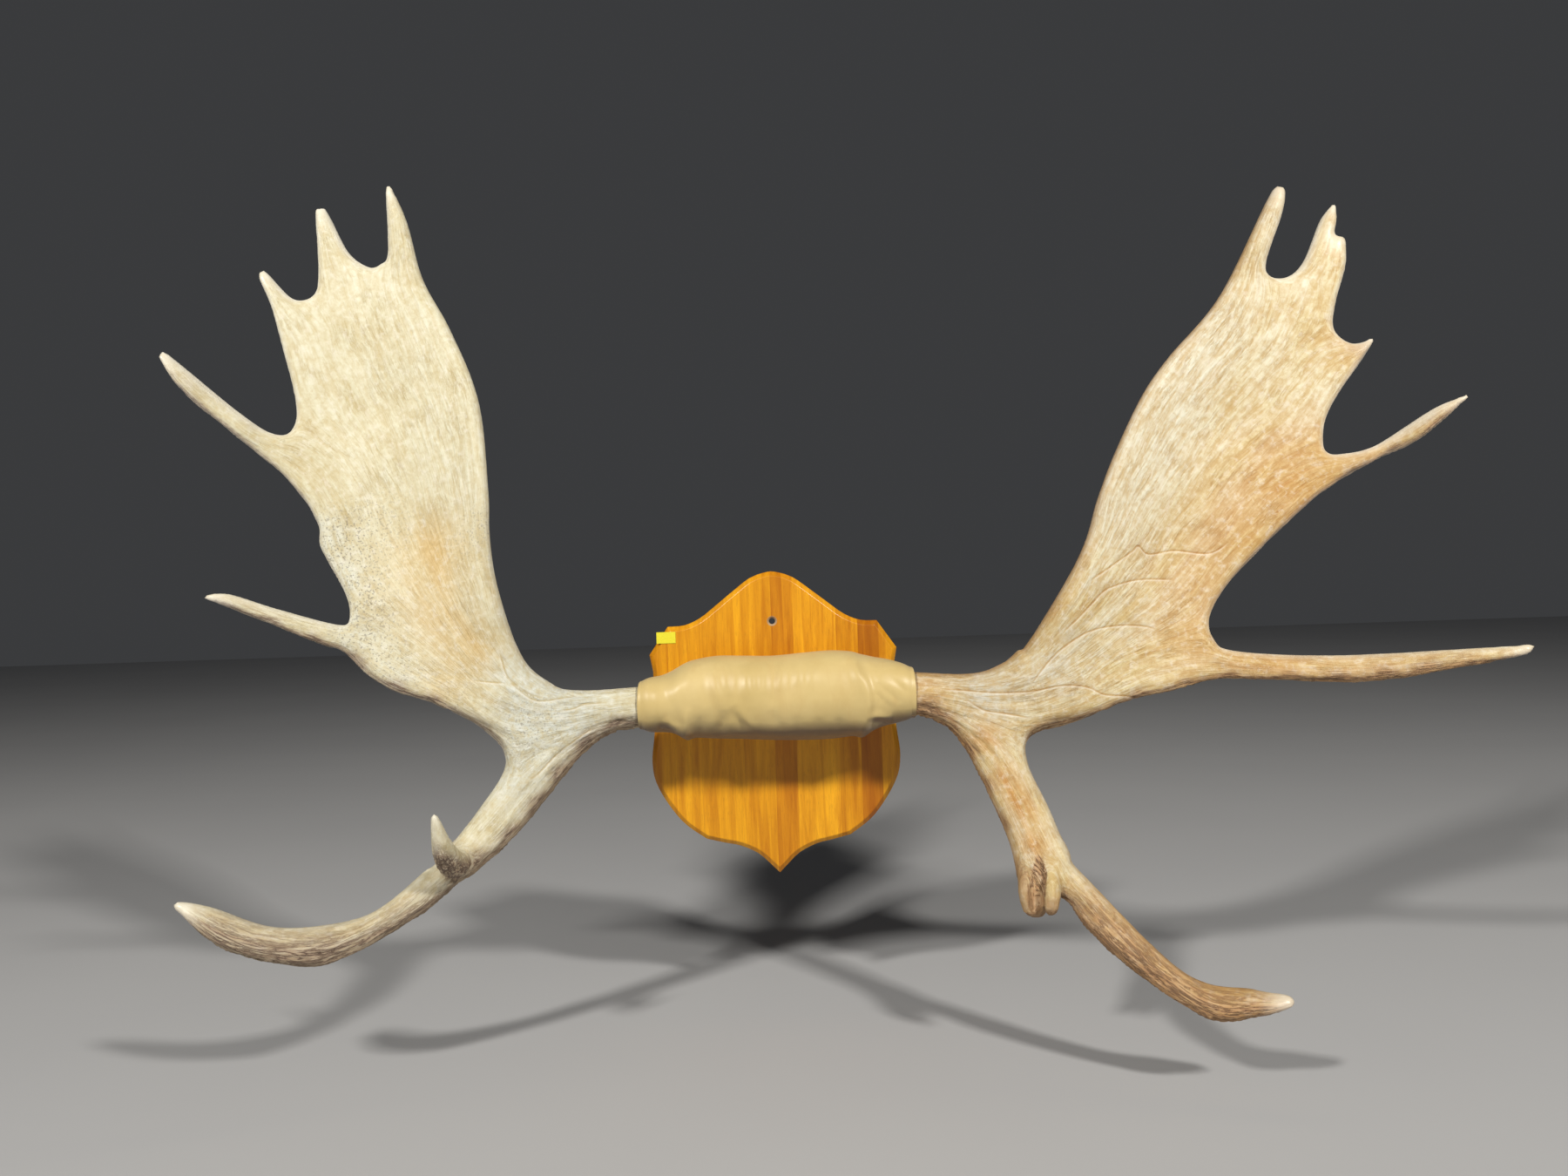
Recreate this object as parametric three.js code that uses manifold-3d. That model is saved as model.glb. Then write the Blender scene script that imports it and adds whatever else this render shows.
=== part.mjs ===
// A pair of moose antlers on their skull plate, wrapped in leather and screwed to a wooden shield.
// Millimetres. The origin is on the shield's back face, which rests against a wall. X runs to the
// viewer's right, Z up, and the viewer stands on the -Y side.
import * as THREE from 'three';
import { ConvexHull } from 'three/addons/math/ConvexHull.js';
import { mergeVertices } from 'three/addons/utils/BufferGeometryUtils.js';
import Module from 'manifold-3d';

const wasm = await Module();
wasm.setup();

// ---- Driving dimensions -------------------------------------------------------------------------

const GAP = 0.3;                  // air left between two pieces that touch
const BOARD_THICKNESS = 19;
const BOARD_CHAMFER = 5;          // bevel round the board's front edge
const FRONT = -BOARD_THICKNESS;   // y of the board's front face

// Right half of the shield's outline as [x, z], from the top point down to the bottom point.
const SHIELD_TOP = [[0, 167], [9, 165.5], [24, 160], [43, 146], [62, 131], [80, 117.5], [98, 110], [116, 109]];
const SHIELD_EAR = [[137, 78.5], [133.5, 60]];
const SHIELD_SIDE = [[133.5, 60], [133.5, 0], [137.5, -41], [131, -70], [107, -106], [80, -127]];
const SHIELD_FOOT = [[80, -127], [60, -132], [42, -136], [23, -145], [11, -156], [0, -167]];
const OUTLINE_STEPS = 12;         // points along each curved stretch of the shield

const HANG_HOLE = { x: 0, z: 112, radius: 3.5, sink: 5.2 };
// Screws from the back of the board into the skull plate. recess is how far the head is sunk.
const SCREW = {
  x: 30, z: 24, shank: 2.5, point: 0.6, pointLength: 6, head: 4.6, headDepth: 4, recess: 0.7,
  slotWidth: 1.4, slotDepth: 1, length: 44, clearance: 0.35,
};
const OVERCUT = 1;                // how far a cutter reaches past the face it cuts
const LABEL = { x: -117.4, z: 97.3, width: 21, height: 12.5, thickness: 0.3 };

// Cross-sections of the leather cover: [x, lowest z, highest z, back, front], where back and front
// are measured from the board's front face. The back is flat where it reaches the board.
const COVER_SECTIONS = [
  [-141.5, 9, 51, 38, 84], [-138, 4, 55, 34, 87], [-131, 1, 58, 28, 89], [-119, -0.5, 59.5, 14, 90],
  [-109, -3, 63, 2, 90], [-98, -7, 69, -8, 91], [-85, -9, 74.5, -10, 91], [-60, -9.5, 78, -10, 92],
  [-30, -11, 77, -10, 92], [0, -13, 76, -10, 92], [35, -14, 78.5, -10, 92], [60, -13.5, 80, -10, 92],
  [80, -13, 78.5, -10, 92], [94, -10, 75, -8, 91], [107, -4, 71.5, 2, 91], [122, 0, 69, 14, 90],
  [136, 4, 65, 28, 89], [144, 7, 61, 34, 87], [148, 12, 56, 38, 84],
];
const COVER_SIDES = 24;
const COVER_SQUARENESS = 0.8;     // 1 is an ellipse, less is boxier

// Cross-sections of the skull plate: [x, middle z, half height, middle, half depth].
const SKULL_SECTIONS = [
  [-91.7, 28, 20, 58, 19], [-72, 27, 21, 52, 20], [-50, 26, 25, 34, 34], [-25, 25, 29, 26, 30],
  [0, 25, 31, 24, 28], [25, 25, 29, 26, 30], [50, 27, 25, 34, 34], [72, 29, 21, 52, 20], [91.7, 31, 20, 58, 19],
];
const SKULL_SIDES = 16;
const SKULL_CLEARANCE = 0.4;

// Tapered hole in each end of the cover, round the beam.
const SLEEVE = { innerRadius: 28, outerRadius: 23.5, inside: 4, outside: 16, rise: 1, drop: 3 };

// Antlers. Each outline is a list of edges as seen by the viewer, each a smooth curve through [x, z]
// points from one tip to the next. form holds [x, z, y of the middle surface, half thickness].
const EDGE_STEP = 14;             // spacing of points along an outline
const FACE_STEP = 27;             // spacing of points across a palm
const ROW_SHARE = 0.87;           // spacing of the rows of those points against FACE_STEP
const FACE_CLEARANCE = 0.62;      // room kept round each of those points, as a share of FACE_STEP
const SPINE_CLEARANCE = 0.7;      // least spacing of points along a spine, as a share of EDGE_STEP
const EDGE_INSET = 7;             // width of the rounded rim
const LEAST_RIM_WIDTH = 9;        // narrower than this, a branch has no rim points
const RIM_SHARE = 0.3;            // the rim's share of the half width of a narrow tine
const RIM_ROUNDING = 1.4;         // how far in the rounding reaches, in half thicknesses
const ROUNDNESS = 0.95;           // thickness of a narrow tine against its width
const SPINE_WIDTH = 64;           // narrower than this, a row of points runs along the middle
const FORM_SOFTNESS = 30;         // distance over which the form's thicknesses blend
const SHEET_SLACK = 400;          // how far the middle surface may ease off its control points
const BURR_X = 92;                // where each antler meets its pedicle, inside the leather
const SAW_LENGTH = 150;
const SAW_START = 8;              // how far outside the notch each cut between branches starts
const WIDE = 400;                 // deeper and taller than any piece that is cut

const LEFT = {
  name: 'left',
  side: -1,
  edges: [
    // inner edge of the palm, up to the first tine
    [[-40, 52], [-70, 53], [-100, 52], [-137, 49], [-206, 49], [-232, 59], [-257, 86], [-278, 153], [-286, 207],
      [-287, 261], [-297, 353], [-328, 430], [-360, 490], [-378, 551], [-390, 581], [-399, 596]],
    [[-399, 596], [-403, 592], [-399, 522], [-406, 509], [-419, 506], [-441, 523], [-461, 562], [-468, 572]],
    [[-474, 572], [-476, 566], [-471, 498], [-475, 474], [-494, 470], [-518, 496], [-523, 498]],
    [[-523, 498], [-526, 492], [-510, 451], [-488, 360], [-491, 327], [-509, 325], [-537, 347], [-585, 395],
      [-595, 401]],
    [[-597, 397], [-571, 355], [-492, 276], [-463, 231], [-458, 203], [-435, 158], [-429, 133], [-438, 125],
      [-490, 143], [-531, 160], [-549, 157]],
    // round the fork and along the top of the brow branch
    [[-549, 157], [-459, 109], [-432, 97], [-408, 73], [-383, 56], [-345, 41], [-293, 11], [-275, -22],
      [-299, -64], [-339, -114], [-345, -117], [-397, -153], [-469, -155], [-528, -131], [-557, -125]],
    // underside of the brow branch and beam
    [[-557, -125], [-510, -169], [-448, -190], [-409, -187], [-355, -162], [-313, -131], [-266, -95], [-190, -9],
      [-138, 7], [-100, 3], [-70, 3], [-40, 4]],
  ],
  form: [
    [-92, 28, -76, 21], [-140, 28, -82, 21], [-207, 22, -95, 21], [-255, 0, -107, 20], [-275, 135, -112, 13],
    [-355, 102, -105, 11], [-287, 243, -107, 9], [-385, 211, -88, 9], [-439, 230, -98, 9], [-305, 353, -93, 9],
    [-404, 351, -72, 9], [-468, 342, -85, 9], [-365, 461, -68, 9], [-440, 474, -62, 9], [-399, 596, -41, 8],
    [-471, 572, -50, 8], [-523, 498, -79, 8], [-516, 330, -110, 9], [-597, 397, -154, 9], [-429, 109, -123, 11],
    [-549, 157, -177, 9], [-283, -71, -131, 15], [-336, -131, -163, 14], [-401, -172, -196, 14],
    [-474, -169, -222, 13], [-557, -125, -233, 11],
  ],
  // short tines that stand out towards the viewer: [x, y, z] along the middle, and radii
  spurs: [
    {
      path: [[-311, -146, -110], [-313, -184, -107], [-313, -215, -86], [-316, -228, -54]],
      radii: [13, 13.5, 10.5, 3],
    },
  ],
  notch: [-280, -21],
  cuts: [[-240, 65], [-224, -48]],
  color: 0xe2d3ae,
};

const RIGHT = {
  name: 'right',
  side: 1,
  edges: [
    [[40, 56], [70, 57], [100, 57], [146, 55], [206, 53], [237, 63], [254, 77], [263, 84], [319, 173], [340, 229],
      [362, 278], [393, 335], [425, 376], [487, 443], [551, 551], [564, 565]],
    [[569, 565], [571, 559], [565, 535], [542, 481], [544, 464], [563, 463], [582, 480], [605, 526], [620, 541]],
    [[620, 541], [621, 527], [617, 511], [618, 506], [624, 503]],
    [[624, 503], [626, 498], [623, 472], [609, 431], [604, 403], [618, 386], [638, 388]],
    [[638, 388], [634, 379], [601, 334], [585, 307], [580, 286], [581, 272], [593, 268], [627, 275], [677, 309],
      [701, 317]],
    [[701, 317], [663, 278], [626, 260], [584, 235], [557, 216], [487, 153], [453, 109], [452, 82], [473, 69],
      [569, 63], [730, 69], [736, 67]],
    [[736, 67], [706, 55], [611, 39], [548, 38], [452, 41], [400, 31], [364, 24], [310, 5], [262, -9], [255, -36],
      [271, -81], [283, -120], [291, -134], [368, -214], [423, -224], [452, -230]],
    [[452, -230], [422, -244], [380, -248], [324, -215], [288, -180], [276, -161], [261, -154], [245, -153],
      [237, -145], [223, -90], [189, -13], [156, 9], [144, 10], [100, 5], [70, 5], [40, 6]],
  ],
  form: [
    [92, 31, -76, 21], [146, 32, -82, 21], [209, 24, -97, 21], [257, 28, -110, 20], [294, 117, -115, 13],
    [372, 78, -107, 11], [340, 214, -107, 9], [417, 185, -88, 9], [485, 182, -98, 9], [402, 331, -91, 9],
    [481, 304, -72, 9], [557, 290, -87, 9], [496, 434, -68, 9], [572, 441, -64, 9], [567, 565, -41, 8],
    [620, 541, -49, 8], [639, 388, -86, 8], [642, 275, -115, 9], [701, 317, -149, 9], [454, 54, -123, 11],
    [581, 49, -150, 10], [736, 67, -179, 9], [247, -73, -141, 15], [278, -142, -182, 15], [325, -196, -225, 14],
    [392, -235, -262, 13], [452, -230, -281, 10],
  ],
  spurs: [
    { path: [[268, -165, -123], [260, -201, -143], [256, -213, -162]], radii: [13, 8.5, 5.5] },
    { path: [[248, -161, -124], [238, -189, -147], [239, -199, -167]], radii: [10, 6.5, 4] },
    { path: [[257, -159, -125], [251, -177, -150], [249, -185, -171]], radii: [13, 9.5, 6.5] },
  ],
  notch: [251, -30],
  cuts: [[225, 56], [217, -72]],
  color: 0xcda36c,
};

// ---- Geometry helpers ---------------------------------------------------------------------------

const sub2 = (a, b) => [a[0] - b[0], a[1] - b[1]];
const distance2 = (a, b) => Math.hypot(a[0] - b[0], a[1] - b[1]);
const middle2 = (a, b) => [(a[0] + b[0]) / 2, (a[1] + b[1]) / 2];

function toSolid(geometry) {
  const bare = geometry.clone();
  bare.deleteAttribute('normal');
  bare.deleteAttribute('uv');
  const merged = mergeVertices(bare);
  return new wasm.Manifold(new wasm.Mesh({
    numProp: 3,
    vertProperties: new Float32Array(merged.attributes.position.array),
    triVerts: new Uint32Array(merged.index.array),
  }));
}

function toGeometry(solid) {
  const mesh = solid.getMesh();
  return closedGeometry(Array.from(mesh.vertProperties), Array.from(mesh.triVerts));
}

function closedGeometry(positions, triangles) {
  const geometry = new THREE.BufferGeometry();
  geometry.setAttribute('position', new THREE.Float32BufferAttribute(positions, 3));
  geometry.setIndex(triangles);
  geometry.computeVertexNormals();
  return geometry;
}

// Closed body through a row of rings with equal numbers of points, with a fan over each end.
function skin(rings) {
  const count = rings[0].length;
  const points = rings.flat();
  const triangles = [];
  for (let r = 0; r + 1 < rings.length; r++) {
    for (let k = 0; k < count; k++) {
      const a = r * count + k;
      const b = r * count + (k + 1) % count;
      triangles.push(a, b, a + count, b, b + count, a + count);
    }
  }
  for (const [ring, flip] of [[0, false], [rings.length - 1, true]]) {
    const hub = points.length;
    points.push(rings[ring].reduce((sum, p) => sum.add(p), new THREE.Vector3()).divideScalar(count));
    for (let k = 0; k < count; k++) {
      const a = ring * count + k;
      const b = ring * count + (k + 1) % count;
      triangles.push(hub, flip ? a : b, flip ? b : a);
    }
  }
  return closedGeometry(points.flatMap((p) => p.toArray()), triangles);
}

// Round horn along a smooth path of [x, y, z] points, with one radius at each point.
function horn({ path, radii }, sides = 12, steps = 8) {
  const curve = new THREE.CatmullRomCurve3(path.map((p) => new THREE.Vector3(...p)));
  const frames = curve.computeFrenetFrames(steps);
  const rings = [];
  for (let i = 0; i <= steps; i++) {
    const place = (i / steps) * (radii.length - 1);
    const low = Math.min(Math.floor(place), radii.length - 2);
    const radius = THREE.MathUtils.lerp(radii[low], radii[low + 1], place - low);
    rings.push(Array.from({ length: sides }, (_, k) => {
      const angle = (k / sides) * 2 * Math.PI;
      return curve.getPoint(i / steps)
        .addScaledVector(frames.normals[i], radius * Math.cos(angle))
        .addScaledVector(frames.binormals[i], radius * Math.sin(angle));
    }));
  }
  return skin(rings);
}

// Rounded section in the plane x, flattened where it would pass behind backLimit.
function section(x, z, halfHeight, y, halfDepth, sides, squareness, backLimit) {
  const bulge = (value) => Math.sign(value) * Math.abs(value) ** squareness;
  return Array.from({ length: sides }, (_, k) => {
    const angle = (k / sides) * 2 * Math.PI;
    const depth = y - halfDepth * bulge(Math.sin(angle));
    return new THREE.Vector3(x, Math.min(depth, backLimit), z + halfHeight * bulge(Math.cos(angle)));
  });
}

function cylinderAlongY(radiusFront, radiusBack, yFront, yBack, x, z, sides = 20) {
  const geometry = new THREE.CylinderGeometry(radiusBack, radiusFront, yBack - yFront, sides);
  return geometry.translate(x, (yFront + yBack) / 2, z);
}

// ---- Shield -------------------------------------------------------------------------------------

function shieldShape() {
  const stretch = (points) => new THREE.SplineCurve(points.map((p) => new THREE.Vector2(...p)));
  const right = [
    ...stretch(SHIELD_TOP).getSpacedPoints(OUTLINE_STEPS),
    ...SHIELD_EAR.slice(0, 1).map((p) => new THREE.Vector2(...p)),
    ...stretch(SHIELD_SIDE).getSpacedPoints(OUTLINE_STEPS),
    ...stretch(SHIELD_FOOT).getSpacedPoints(OUTLINE_STEPS).slice(1),
  ];
  const left = right.slice(1, -1).reverse().map((p) => new THREE.Vector2(-p.x, p.y));
  return new THREE.Shape([...right, ...left]);
}

function shieldBoard() {
  // the bevelled slab is made too thick, so that its back bevel is cut away
  const slab = new THREE.ExtrudeGeometry(shieldShape(), {
    depth: BOARD_THICKNESS,
    curveSegments: 1,
    bevelThickness: BOARD_CHAMFER,
    bevelSize: BOARD_CHAMFER,
    bevelOffset: -BOARD_CHAMFER,
    bevelSegments: 1,
  });
  slab.rotateX(Math.PI / 2).translate(0, FRONT + BOARD_CHAMFER + BOARD_THICKNESS, 0);
  const cutters = [new THREE.BoxGeometry(WIDE, WIDE, WIDE).translate(0, WIDE / 2, 0)];
  const { x, z, radius, sink } = HANG_HOLE;
  cutters.push(cylinderAlongY(radius, radius, FRONT - OVERCUT, OVERCUT, x, z));
  cutters.push(cylinderAlongY(sink + OVERCUT, radius, FRONT - OVERCUT, FRONT + sink - radius, x, z));
  const bore = SCREW.shank + SCREW.clearance;
  const counterbore = SCREW.head + SCREW.clearance;
  const seat = -SCREW.recess - SCREW.headDepth - GAP;
  for (const side of [-1, 1]) {
    cutters.push(cylinderAlongY(bore, bore, FRONT - OVERCUT, OVERCUT, side * SCREW.x, SCREW.z));
    cutters.push(cylinderAlongY(counterbore, counterbore, seat, OVERCUT, side * SCREW.x, SCREW.z));
  }
  return cutters.reduce((board, cutter) => board.subtract(toSolid(cutter)), toSolid(slab));
}

function backScrew(side) {
  const x = side * SCREW.x;
  const back = -SCREW.recess;
  const tip = back - SCREW.length;
  const shoulder = tip + SCREW.pointLength;
  const head = cylinderAlongY(SCREW.head, SCREW.head, back - SCREW.headDepth, back, x, SCREW.z);
  const shank = cylinderAlongY(SCREW.shank, SCREW.shank, shoulder, back - SCREW.slotDepth, x, SCREW.z);
  const point = cylinderAlongY(SCREW.point, SCREW.shank, tip, shoulder, x, SCREW.z);
  const slot = new THREE.BoxGeometry(SCREW.head * 2 + OVERCUT, SCREW.slotDepth * 2, SCREW.slotWidth)
    .translate(x, back, SCREW.z);
  return toSolid(head).add(toSolid(shank)).add(toSolid(point)).subtract(toSolid(slot));
}

function lotLabel() {
  const y = FRONT - GAP - LABEL.thickness / 2;
  return new THREE.BoxGeometry(LABEL.width, LABEL.thickness, LABEL.height).translate(LABEL.x, y, LABEL.z);
}

// ---- Skull plate and leather cover --------------------------------------------------------------

function skullPlate(clearance = 0) {
  const rings = SKULL_SECTIONS.map(([x, z, halfHeight, middle, halfDepth]) => section(
    x + Math.sign(x) * clearance, z, halfHeight + clearance, FRONT - middle, halfDepth + clearance,
    SKULL_SIDES, COVER_SQUARENESS, FRONT - GAP + clearance));
  return toSolid(skin(rings));
}

function screwBores() {
  const bore = SCREW.shank + SCREW.clearance;
  return [-1, 1].map((side) => toSolid(
    cylinderAlongY(bore, bore, -SCREW.length - 2 * OVERCUT, 0, side * SCREW.x, SCREW.z, 12)));
}

function leatherCover() {
  const rings = COVER_SECTIONS.map(([x, low, high, back, front]) => section(
    x, (low + high) / 2, (high - low) / 2, FRONT - (back + front) / 2, (front - back) / 2,
    COVER_SIDES, COVER_SQUARENESS, FRONT - GAP));
  const sleeves = [LEFT, RIGHT].map(({ side, form }) => {
    const [burr, mouth] = form;
    const start = [side * (BURR_X - SLEEVE.inside), burr[2] + SLEEVE.rise, burr[1]];
    const end = [side * (Math.abs(mouth[0]) + SLEEVE.outside), mouth[2] - SLEEVE.drop, mouth[1]];
    const radii = [SLEEVE.innerRadius, SLEEVE.outerRadius];
    return toSolid(horn({ path: [start, end], radii }, 20, 4));
  });
  return [skullPlate(SKULL_CLEARANCE), ...sleeves, ...screwBores()]
    .reduce((cover, hollow) => cover.subtract(hollow), toSolid(skin(rings)));
}

// ---- Antlers ------------------------------------------------------------------------------------

const bend = (r) => (r > 0 ? r * r * Math.log(r) : 0);

// Solves a square set of linear equations, each row ending in its right-hand side.
function solveLinear(rows) {
  const size = rows.length;
  for (let column = 0; column < size; column++) {
    const pivot = rows.reduce((best, row, i) => (
      i >= column && Math.abs(row[column]) > Math.abs(rows[best][column]) ? i : best), column);
    [rows[column], rows[pivot]] = [rows[pivot], rows[column]];
    for (let i = 0; i < size; i++) {
      if (i !== column) {
        const share = rows[i][column] / rows[column][column];
        rows[i] = rows[i].map((value, k) => value - share * rows[column][k]);
      }
    }
  }
  return rows.map((row, i) => row[size] / row[i]);
}

// Middle surface through the form's control points, bent as a thin sheet would be. Gives y at (x, z).
function middleSurface(form) {
  const rows = form.map(([x, z, y], i) => {
    const pulls = form.map(([px, pz], k) => bend(Math.hypot(px - x, pz - z)) + (i === k ? SHEET_SLACK : 0));
    return [...pulls, 1, x, z, y];
  });
  rows.push([...form.map(() => 1), 0, 0, 0, 0]);
  rows.push([...form.map(([x]) => x), 0, 0, 0, 0]);
  rows.push([...form.map(([, z]) => z), 0, 0, 0, 0]);
  const weights = solveLinear(rows);
  const [level, slopeX, slopeZ] = weights.slice(-3);
  return ([x, z]) => form.reduce(
    (y, [px, pz], i) => y + weights[i] * bend(Math.hypot(px - x, pz - z)), level + slopeX * x + slopeZ * z);
}

// How much longer a line across the middle surface is, measured along Y, because the surface leans.
function lean(middle, [x, z]) {
  const here = middle([x, z]);
  const slopeX = middle([x + 1, z]) - here;
  const slopeZ = middle([x, z + 1]) - here;
  return Math.sqrt(1 + slopeX ** 2 + slopeZ ** 2);
}

// Half thickness at (x, z), blended from the form's nearest control points.
function fullHalfThickness(form, [x, z]) {
  let total = 0;
  let half = 0;
  for (const [px, pz, , thickness] of form) {
    const weight = 1 / ((px - x) ** 2 + (pz - z) ** 2 + FORM_SOFTNESS ** 2) ** 2;
    total += weight;
    half += weight * thickness;
  }
  return half / total;
}

function traceOutline(edges) {
  const outline = [];
  for (const edge of edges) {
    const curve = new THREE.SplineCurve(edge.map((p) => new THREE.Vector2(...p)));
    const points = curve.getSpacedPoints(Math.max(2, Math.round(curve.getLength() / EDGE_STEP)));
    points.forEach((p, k) => {
      const place = [p.x, p.y];
      const isCorner = k === 0 || k === points.length - 1;
      const last = outline[outline.length - 1];
      if (!last || distance2(last.place, place) > 1) {
        outline.push({ place, isCorner });
      }
    });
  }
  return outline;
}

function isInside([x, z], outline) {
  let inside = false;
  outline.forEach(({ place: [ax, az] }, i) => {
    const [bx, bz] = outline[(i + 1) % outline.length].place;
    if ((az > z) !== (bz > z) && x < ax + ((z - az) / (bz - az)) * (bx - ax)) {
      inside = !inside;
    }
  });
  return inside;
}

// Distance from a point of the outline to the far side, straight across.
function widthAcross(outline, index, direction) {
  const start = outline[index].place;
  let nearest = Infinity;
  outline.forEach(({ place: a }, i) => {
    const next = (i + 1) % outline.length;
    if (i === index || next === index) {
      return;
    }
    const edge = sub2(outline[next].place, a);
    const offset = sub2(a, start);
    const cross = direction[0] * edge[1] - direction[1] * edge[0];
    const along = (offset[0] * edge[1] - offset[1] * edge[0]) / cross;
    const share = (offset[0] * direction[1] - offset[1] * direction[0]) / cross;
    if (along > 0 && share >= 0 && share <= 1) {
      nearest = Math.min(nearest, along);
    }
  });
  return nearest;
}

// Points inside the outline: a rounded rim, a spine along each narrow part, and a grid over the palm.
function innerPoints(outline) {
  const rim = [];
  const spine = [];
  const grid = [];
  const isClear = (place, others, clearance) => others.every((o) => distance2(o.place, place) > clearance);
  outline.forEach(({ place, isCorner }, i) => {
    if (isCorner) {
      return;
    }
    const before = outline[(i + outline.length - 1) % outline.length].place;
    const after = outline[(i + 1) % outline.length].place;
    const [tx, tz] = sub2(after, before);
    const length = Math.hypot(tx, tz);
    let direction = [-tz / length, tx / length];
    if (!isInside([place[0] + direction[0], place[1] + direction[1]], outline)) {
      direction = [-direction[0], -direction[1]];
    }
    const width = widthAcross(outline, i, direction);
    const inset = Math.min((RIM_SHARE * width) / 2, EDGE_INSET);
    const at = (depth) => [place[0] + direction[0] * depth, place[1] + direction[1] * depth];
    if (width > LEAST_RIM_WIDTH) {
      rim.push({ place: at(inset), inset, halfWidth: width / 2 });
    }
    if (width < SPINE_WIDTH && isClear(at(width / 2), spine, EDGE_STEP * SPINE_CLEARANCE)) {
      spine.push({ place: at(width / 2), halfWidth: width / 2 });
    }
  });
  const { min, max } = new THREE.Box2().setFromPoints(outline.map(({ place }) => new THREE.Vector2(...place)));
  const clearance = FACE_STEP * FACE_CLEARANCE;
  for (let row = 0; min.y + row * FACE_STEP * ROW_SHARE < max.y; row++) {
    for (let x = min.x + (row % 2) * (FACE_STEP / 2); x < max.x; x += FACE_STEP) {
      const place = [x, min.y + row * FACE_STEP * ROW_SHARE];
      if (isInside(place, outline) && isClear(place, outline, clearance) && isClear(place, spine, clearance)) {
        const halfWidth = Math.min(...outline.map((o) => distance2(o.place, place)));
        grid.push({ place, halfWidth });
      }
    }
  }
  return [...rim.filter(({ place }) => isInside(place, outline)), ...spine, ...grid];
}

// Delaunay triangles of plan points: the lower side of the hull of the points lifted onto a bowl.
function planTriangles(places) {
  const bowl = 500;
  const centre = places.reduce((sum, [x, z]) => [sum[0] + x / places.length, sum[1] + z / places.length], [0, 0]);
  const lifted = places.map((p) => {
    const [x, z] = sub2(p, centre);
    return new THREE.Vector3(x, z, (x * x + z * z) / bowl);
  });
  const numbers = new Map(lifted.map((point, i) => [point, i]));
  return new ConvexHull().setFromPoints(lifted).faces
    .filter((face) => face.normal.z < -1e-9)
    .map((face) => [0, 1, 2].map((k) => numbers.get(face.getEdge(k).head().point)));
}

const edgeKey = (a, b) => (a < b ? `${a},${b}` : `${b},${a}`);

function countEdges(triangles) {
  const uses = new Map();
  for (const [a, b, c] of triangles) {
    for (const key of [edgeKey(a, b), edgeKey(b, c), edgeKey(c, a)]) {
      uses.set(key, (uses.get(key) || 0) + 1);
    }
  }
  return uses;
}

// Plan triangles inside the outline. Where an inner edge joins two rim points, its middle becomes a
// point too, so that the body has thickness everywhere inside its rim.
function fillOutline(outline, inner) {
  const points = [...outline, ...inner];
  for (;;) {
    const places = points.map(({ place }) => place);
    const triangles = planTriangles(places).filter((triangle) => {
      const [a, b, c] = triangle.map((i) => places[i]);
      return isInside([(a[0] + b[0] + c[0]) / 3, (a[1] + b[1] + c[1]) / 3], outline);
    });
    const ties = [...countEdges(triangles)]
      .filter(([, uses]) => uses === 2)
      .map(([key]) => key.split(',').map(Number))
      .filter(([a, b]) => a < outline.length && b < outline.length);
    if (ties.length === 0) {
      return { points, triangles };
    }
    for (const [a, b] of ties) {
      points.push({ place: middle2(places[a], places[b]), halfWidth: distance2(places[a], places[b]) / 2 });
    }
  }
}

function halfThickness(form, { place, inset, halfWidth }) {
  const half = fullHalfThickness(form, place);
  const full = Math.min(half, ROUNDNESS * halfWidth);
  if (inset === undefined) {
    return full;
  }
  const rounding = Math.min(halfWidth, half * RIM_ROUNDING);
  return full * Math.sqrt(1 - (1 - inset / rounding) ** 2);
}

// Antler plate: the outline's area given thickness on both sides of its curved middle surface.
function antlerPlate({ edges, form }) {
  const middle = middleSurface(form);
  const outline = traceOutline(edges);
  const { points, triangles } = fillOutline(outline, innerPoints(outline));
  const positions = [];
  const backs = points.map((point, i) => {
    const y = middle(point.place);
    const [x, z] = point.place;
    if (i < outline.length) {
      positions.push([x, y, z]);
      return i;
    }
    const half = halfThickness(form, point) * lean(middle, point.place);
    positions.push([x, y - half, z], [x, y + half, z]);
    return positions.length - 1;
  });
  const fronts = backs.map((back, i) => (i < outline.length ? back : back - 1));
  const faces = [];
  for (const [a, b, c] of triangles) {
    const [p, q, r] = [a, b, c].map((i) => points[i].place);
    const turn = (q[0] - p[0]) * (r[1] - p[1]) - (q[1] - p[1]) * (r[0] - p[0]);
    const [first, second, third] = turn > 0 ? [a, b, c] : [a, c, b];
    faces.push(fronts[first], fronts[second], fronts[third]);
    faces.push(backs[first], backs[third], backs[second]);
  }
  return toSolid(closedGeometry(positions.flat(), faces));
}

// Thin saw cut from just outside the notch, through the branch, past the given point.
function sawCut([x, z], [towardX, towardZ]) {
  const angle = Math.atan2(towardZ - z, towardX - x);
  const cut = new THREE.BoxGeometry(SAW_LENGTH, WIDE, GAP).translate(SAW_LENGTH / 2 - SAW_START, 0, 0);
  return toSolid(cut.rotateY(-angle).translate(x, 0, z));
}

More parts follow.
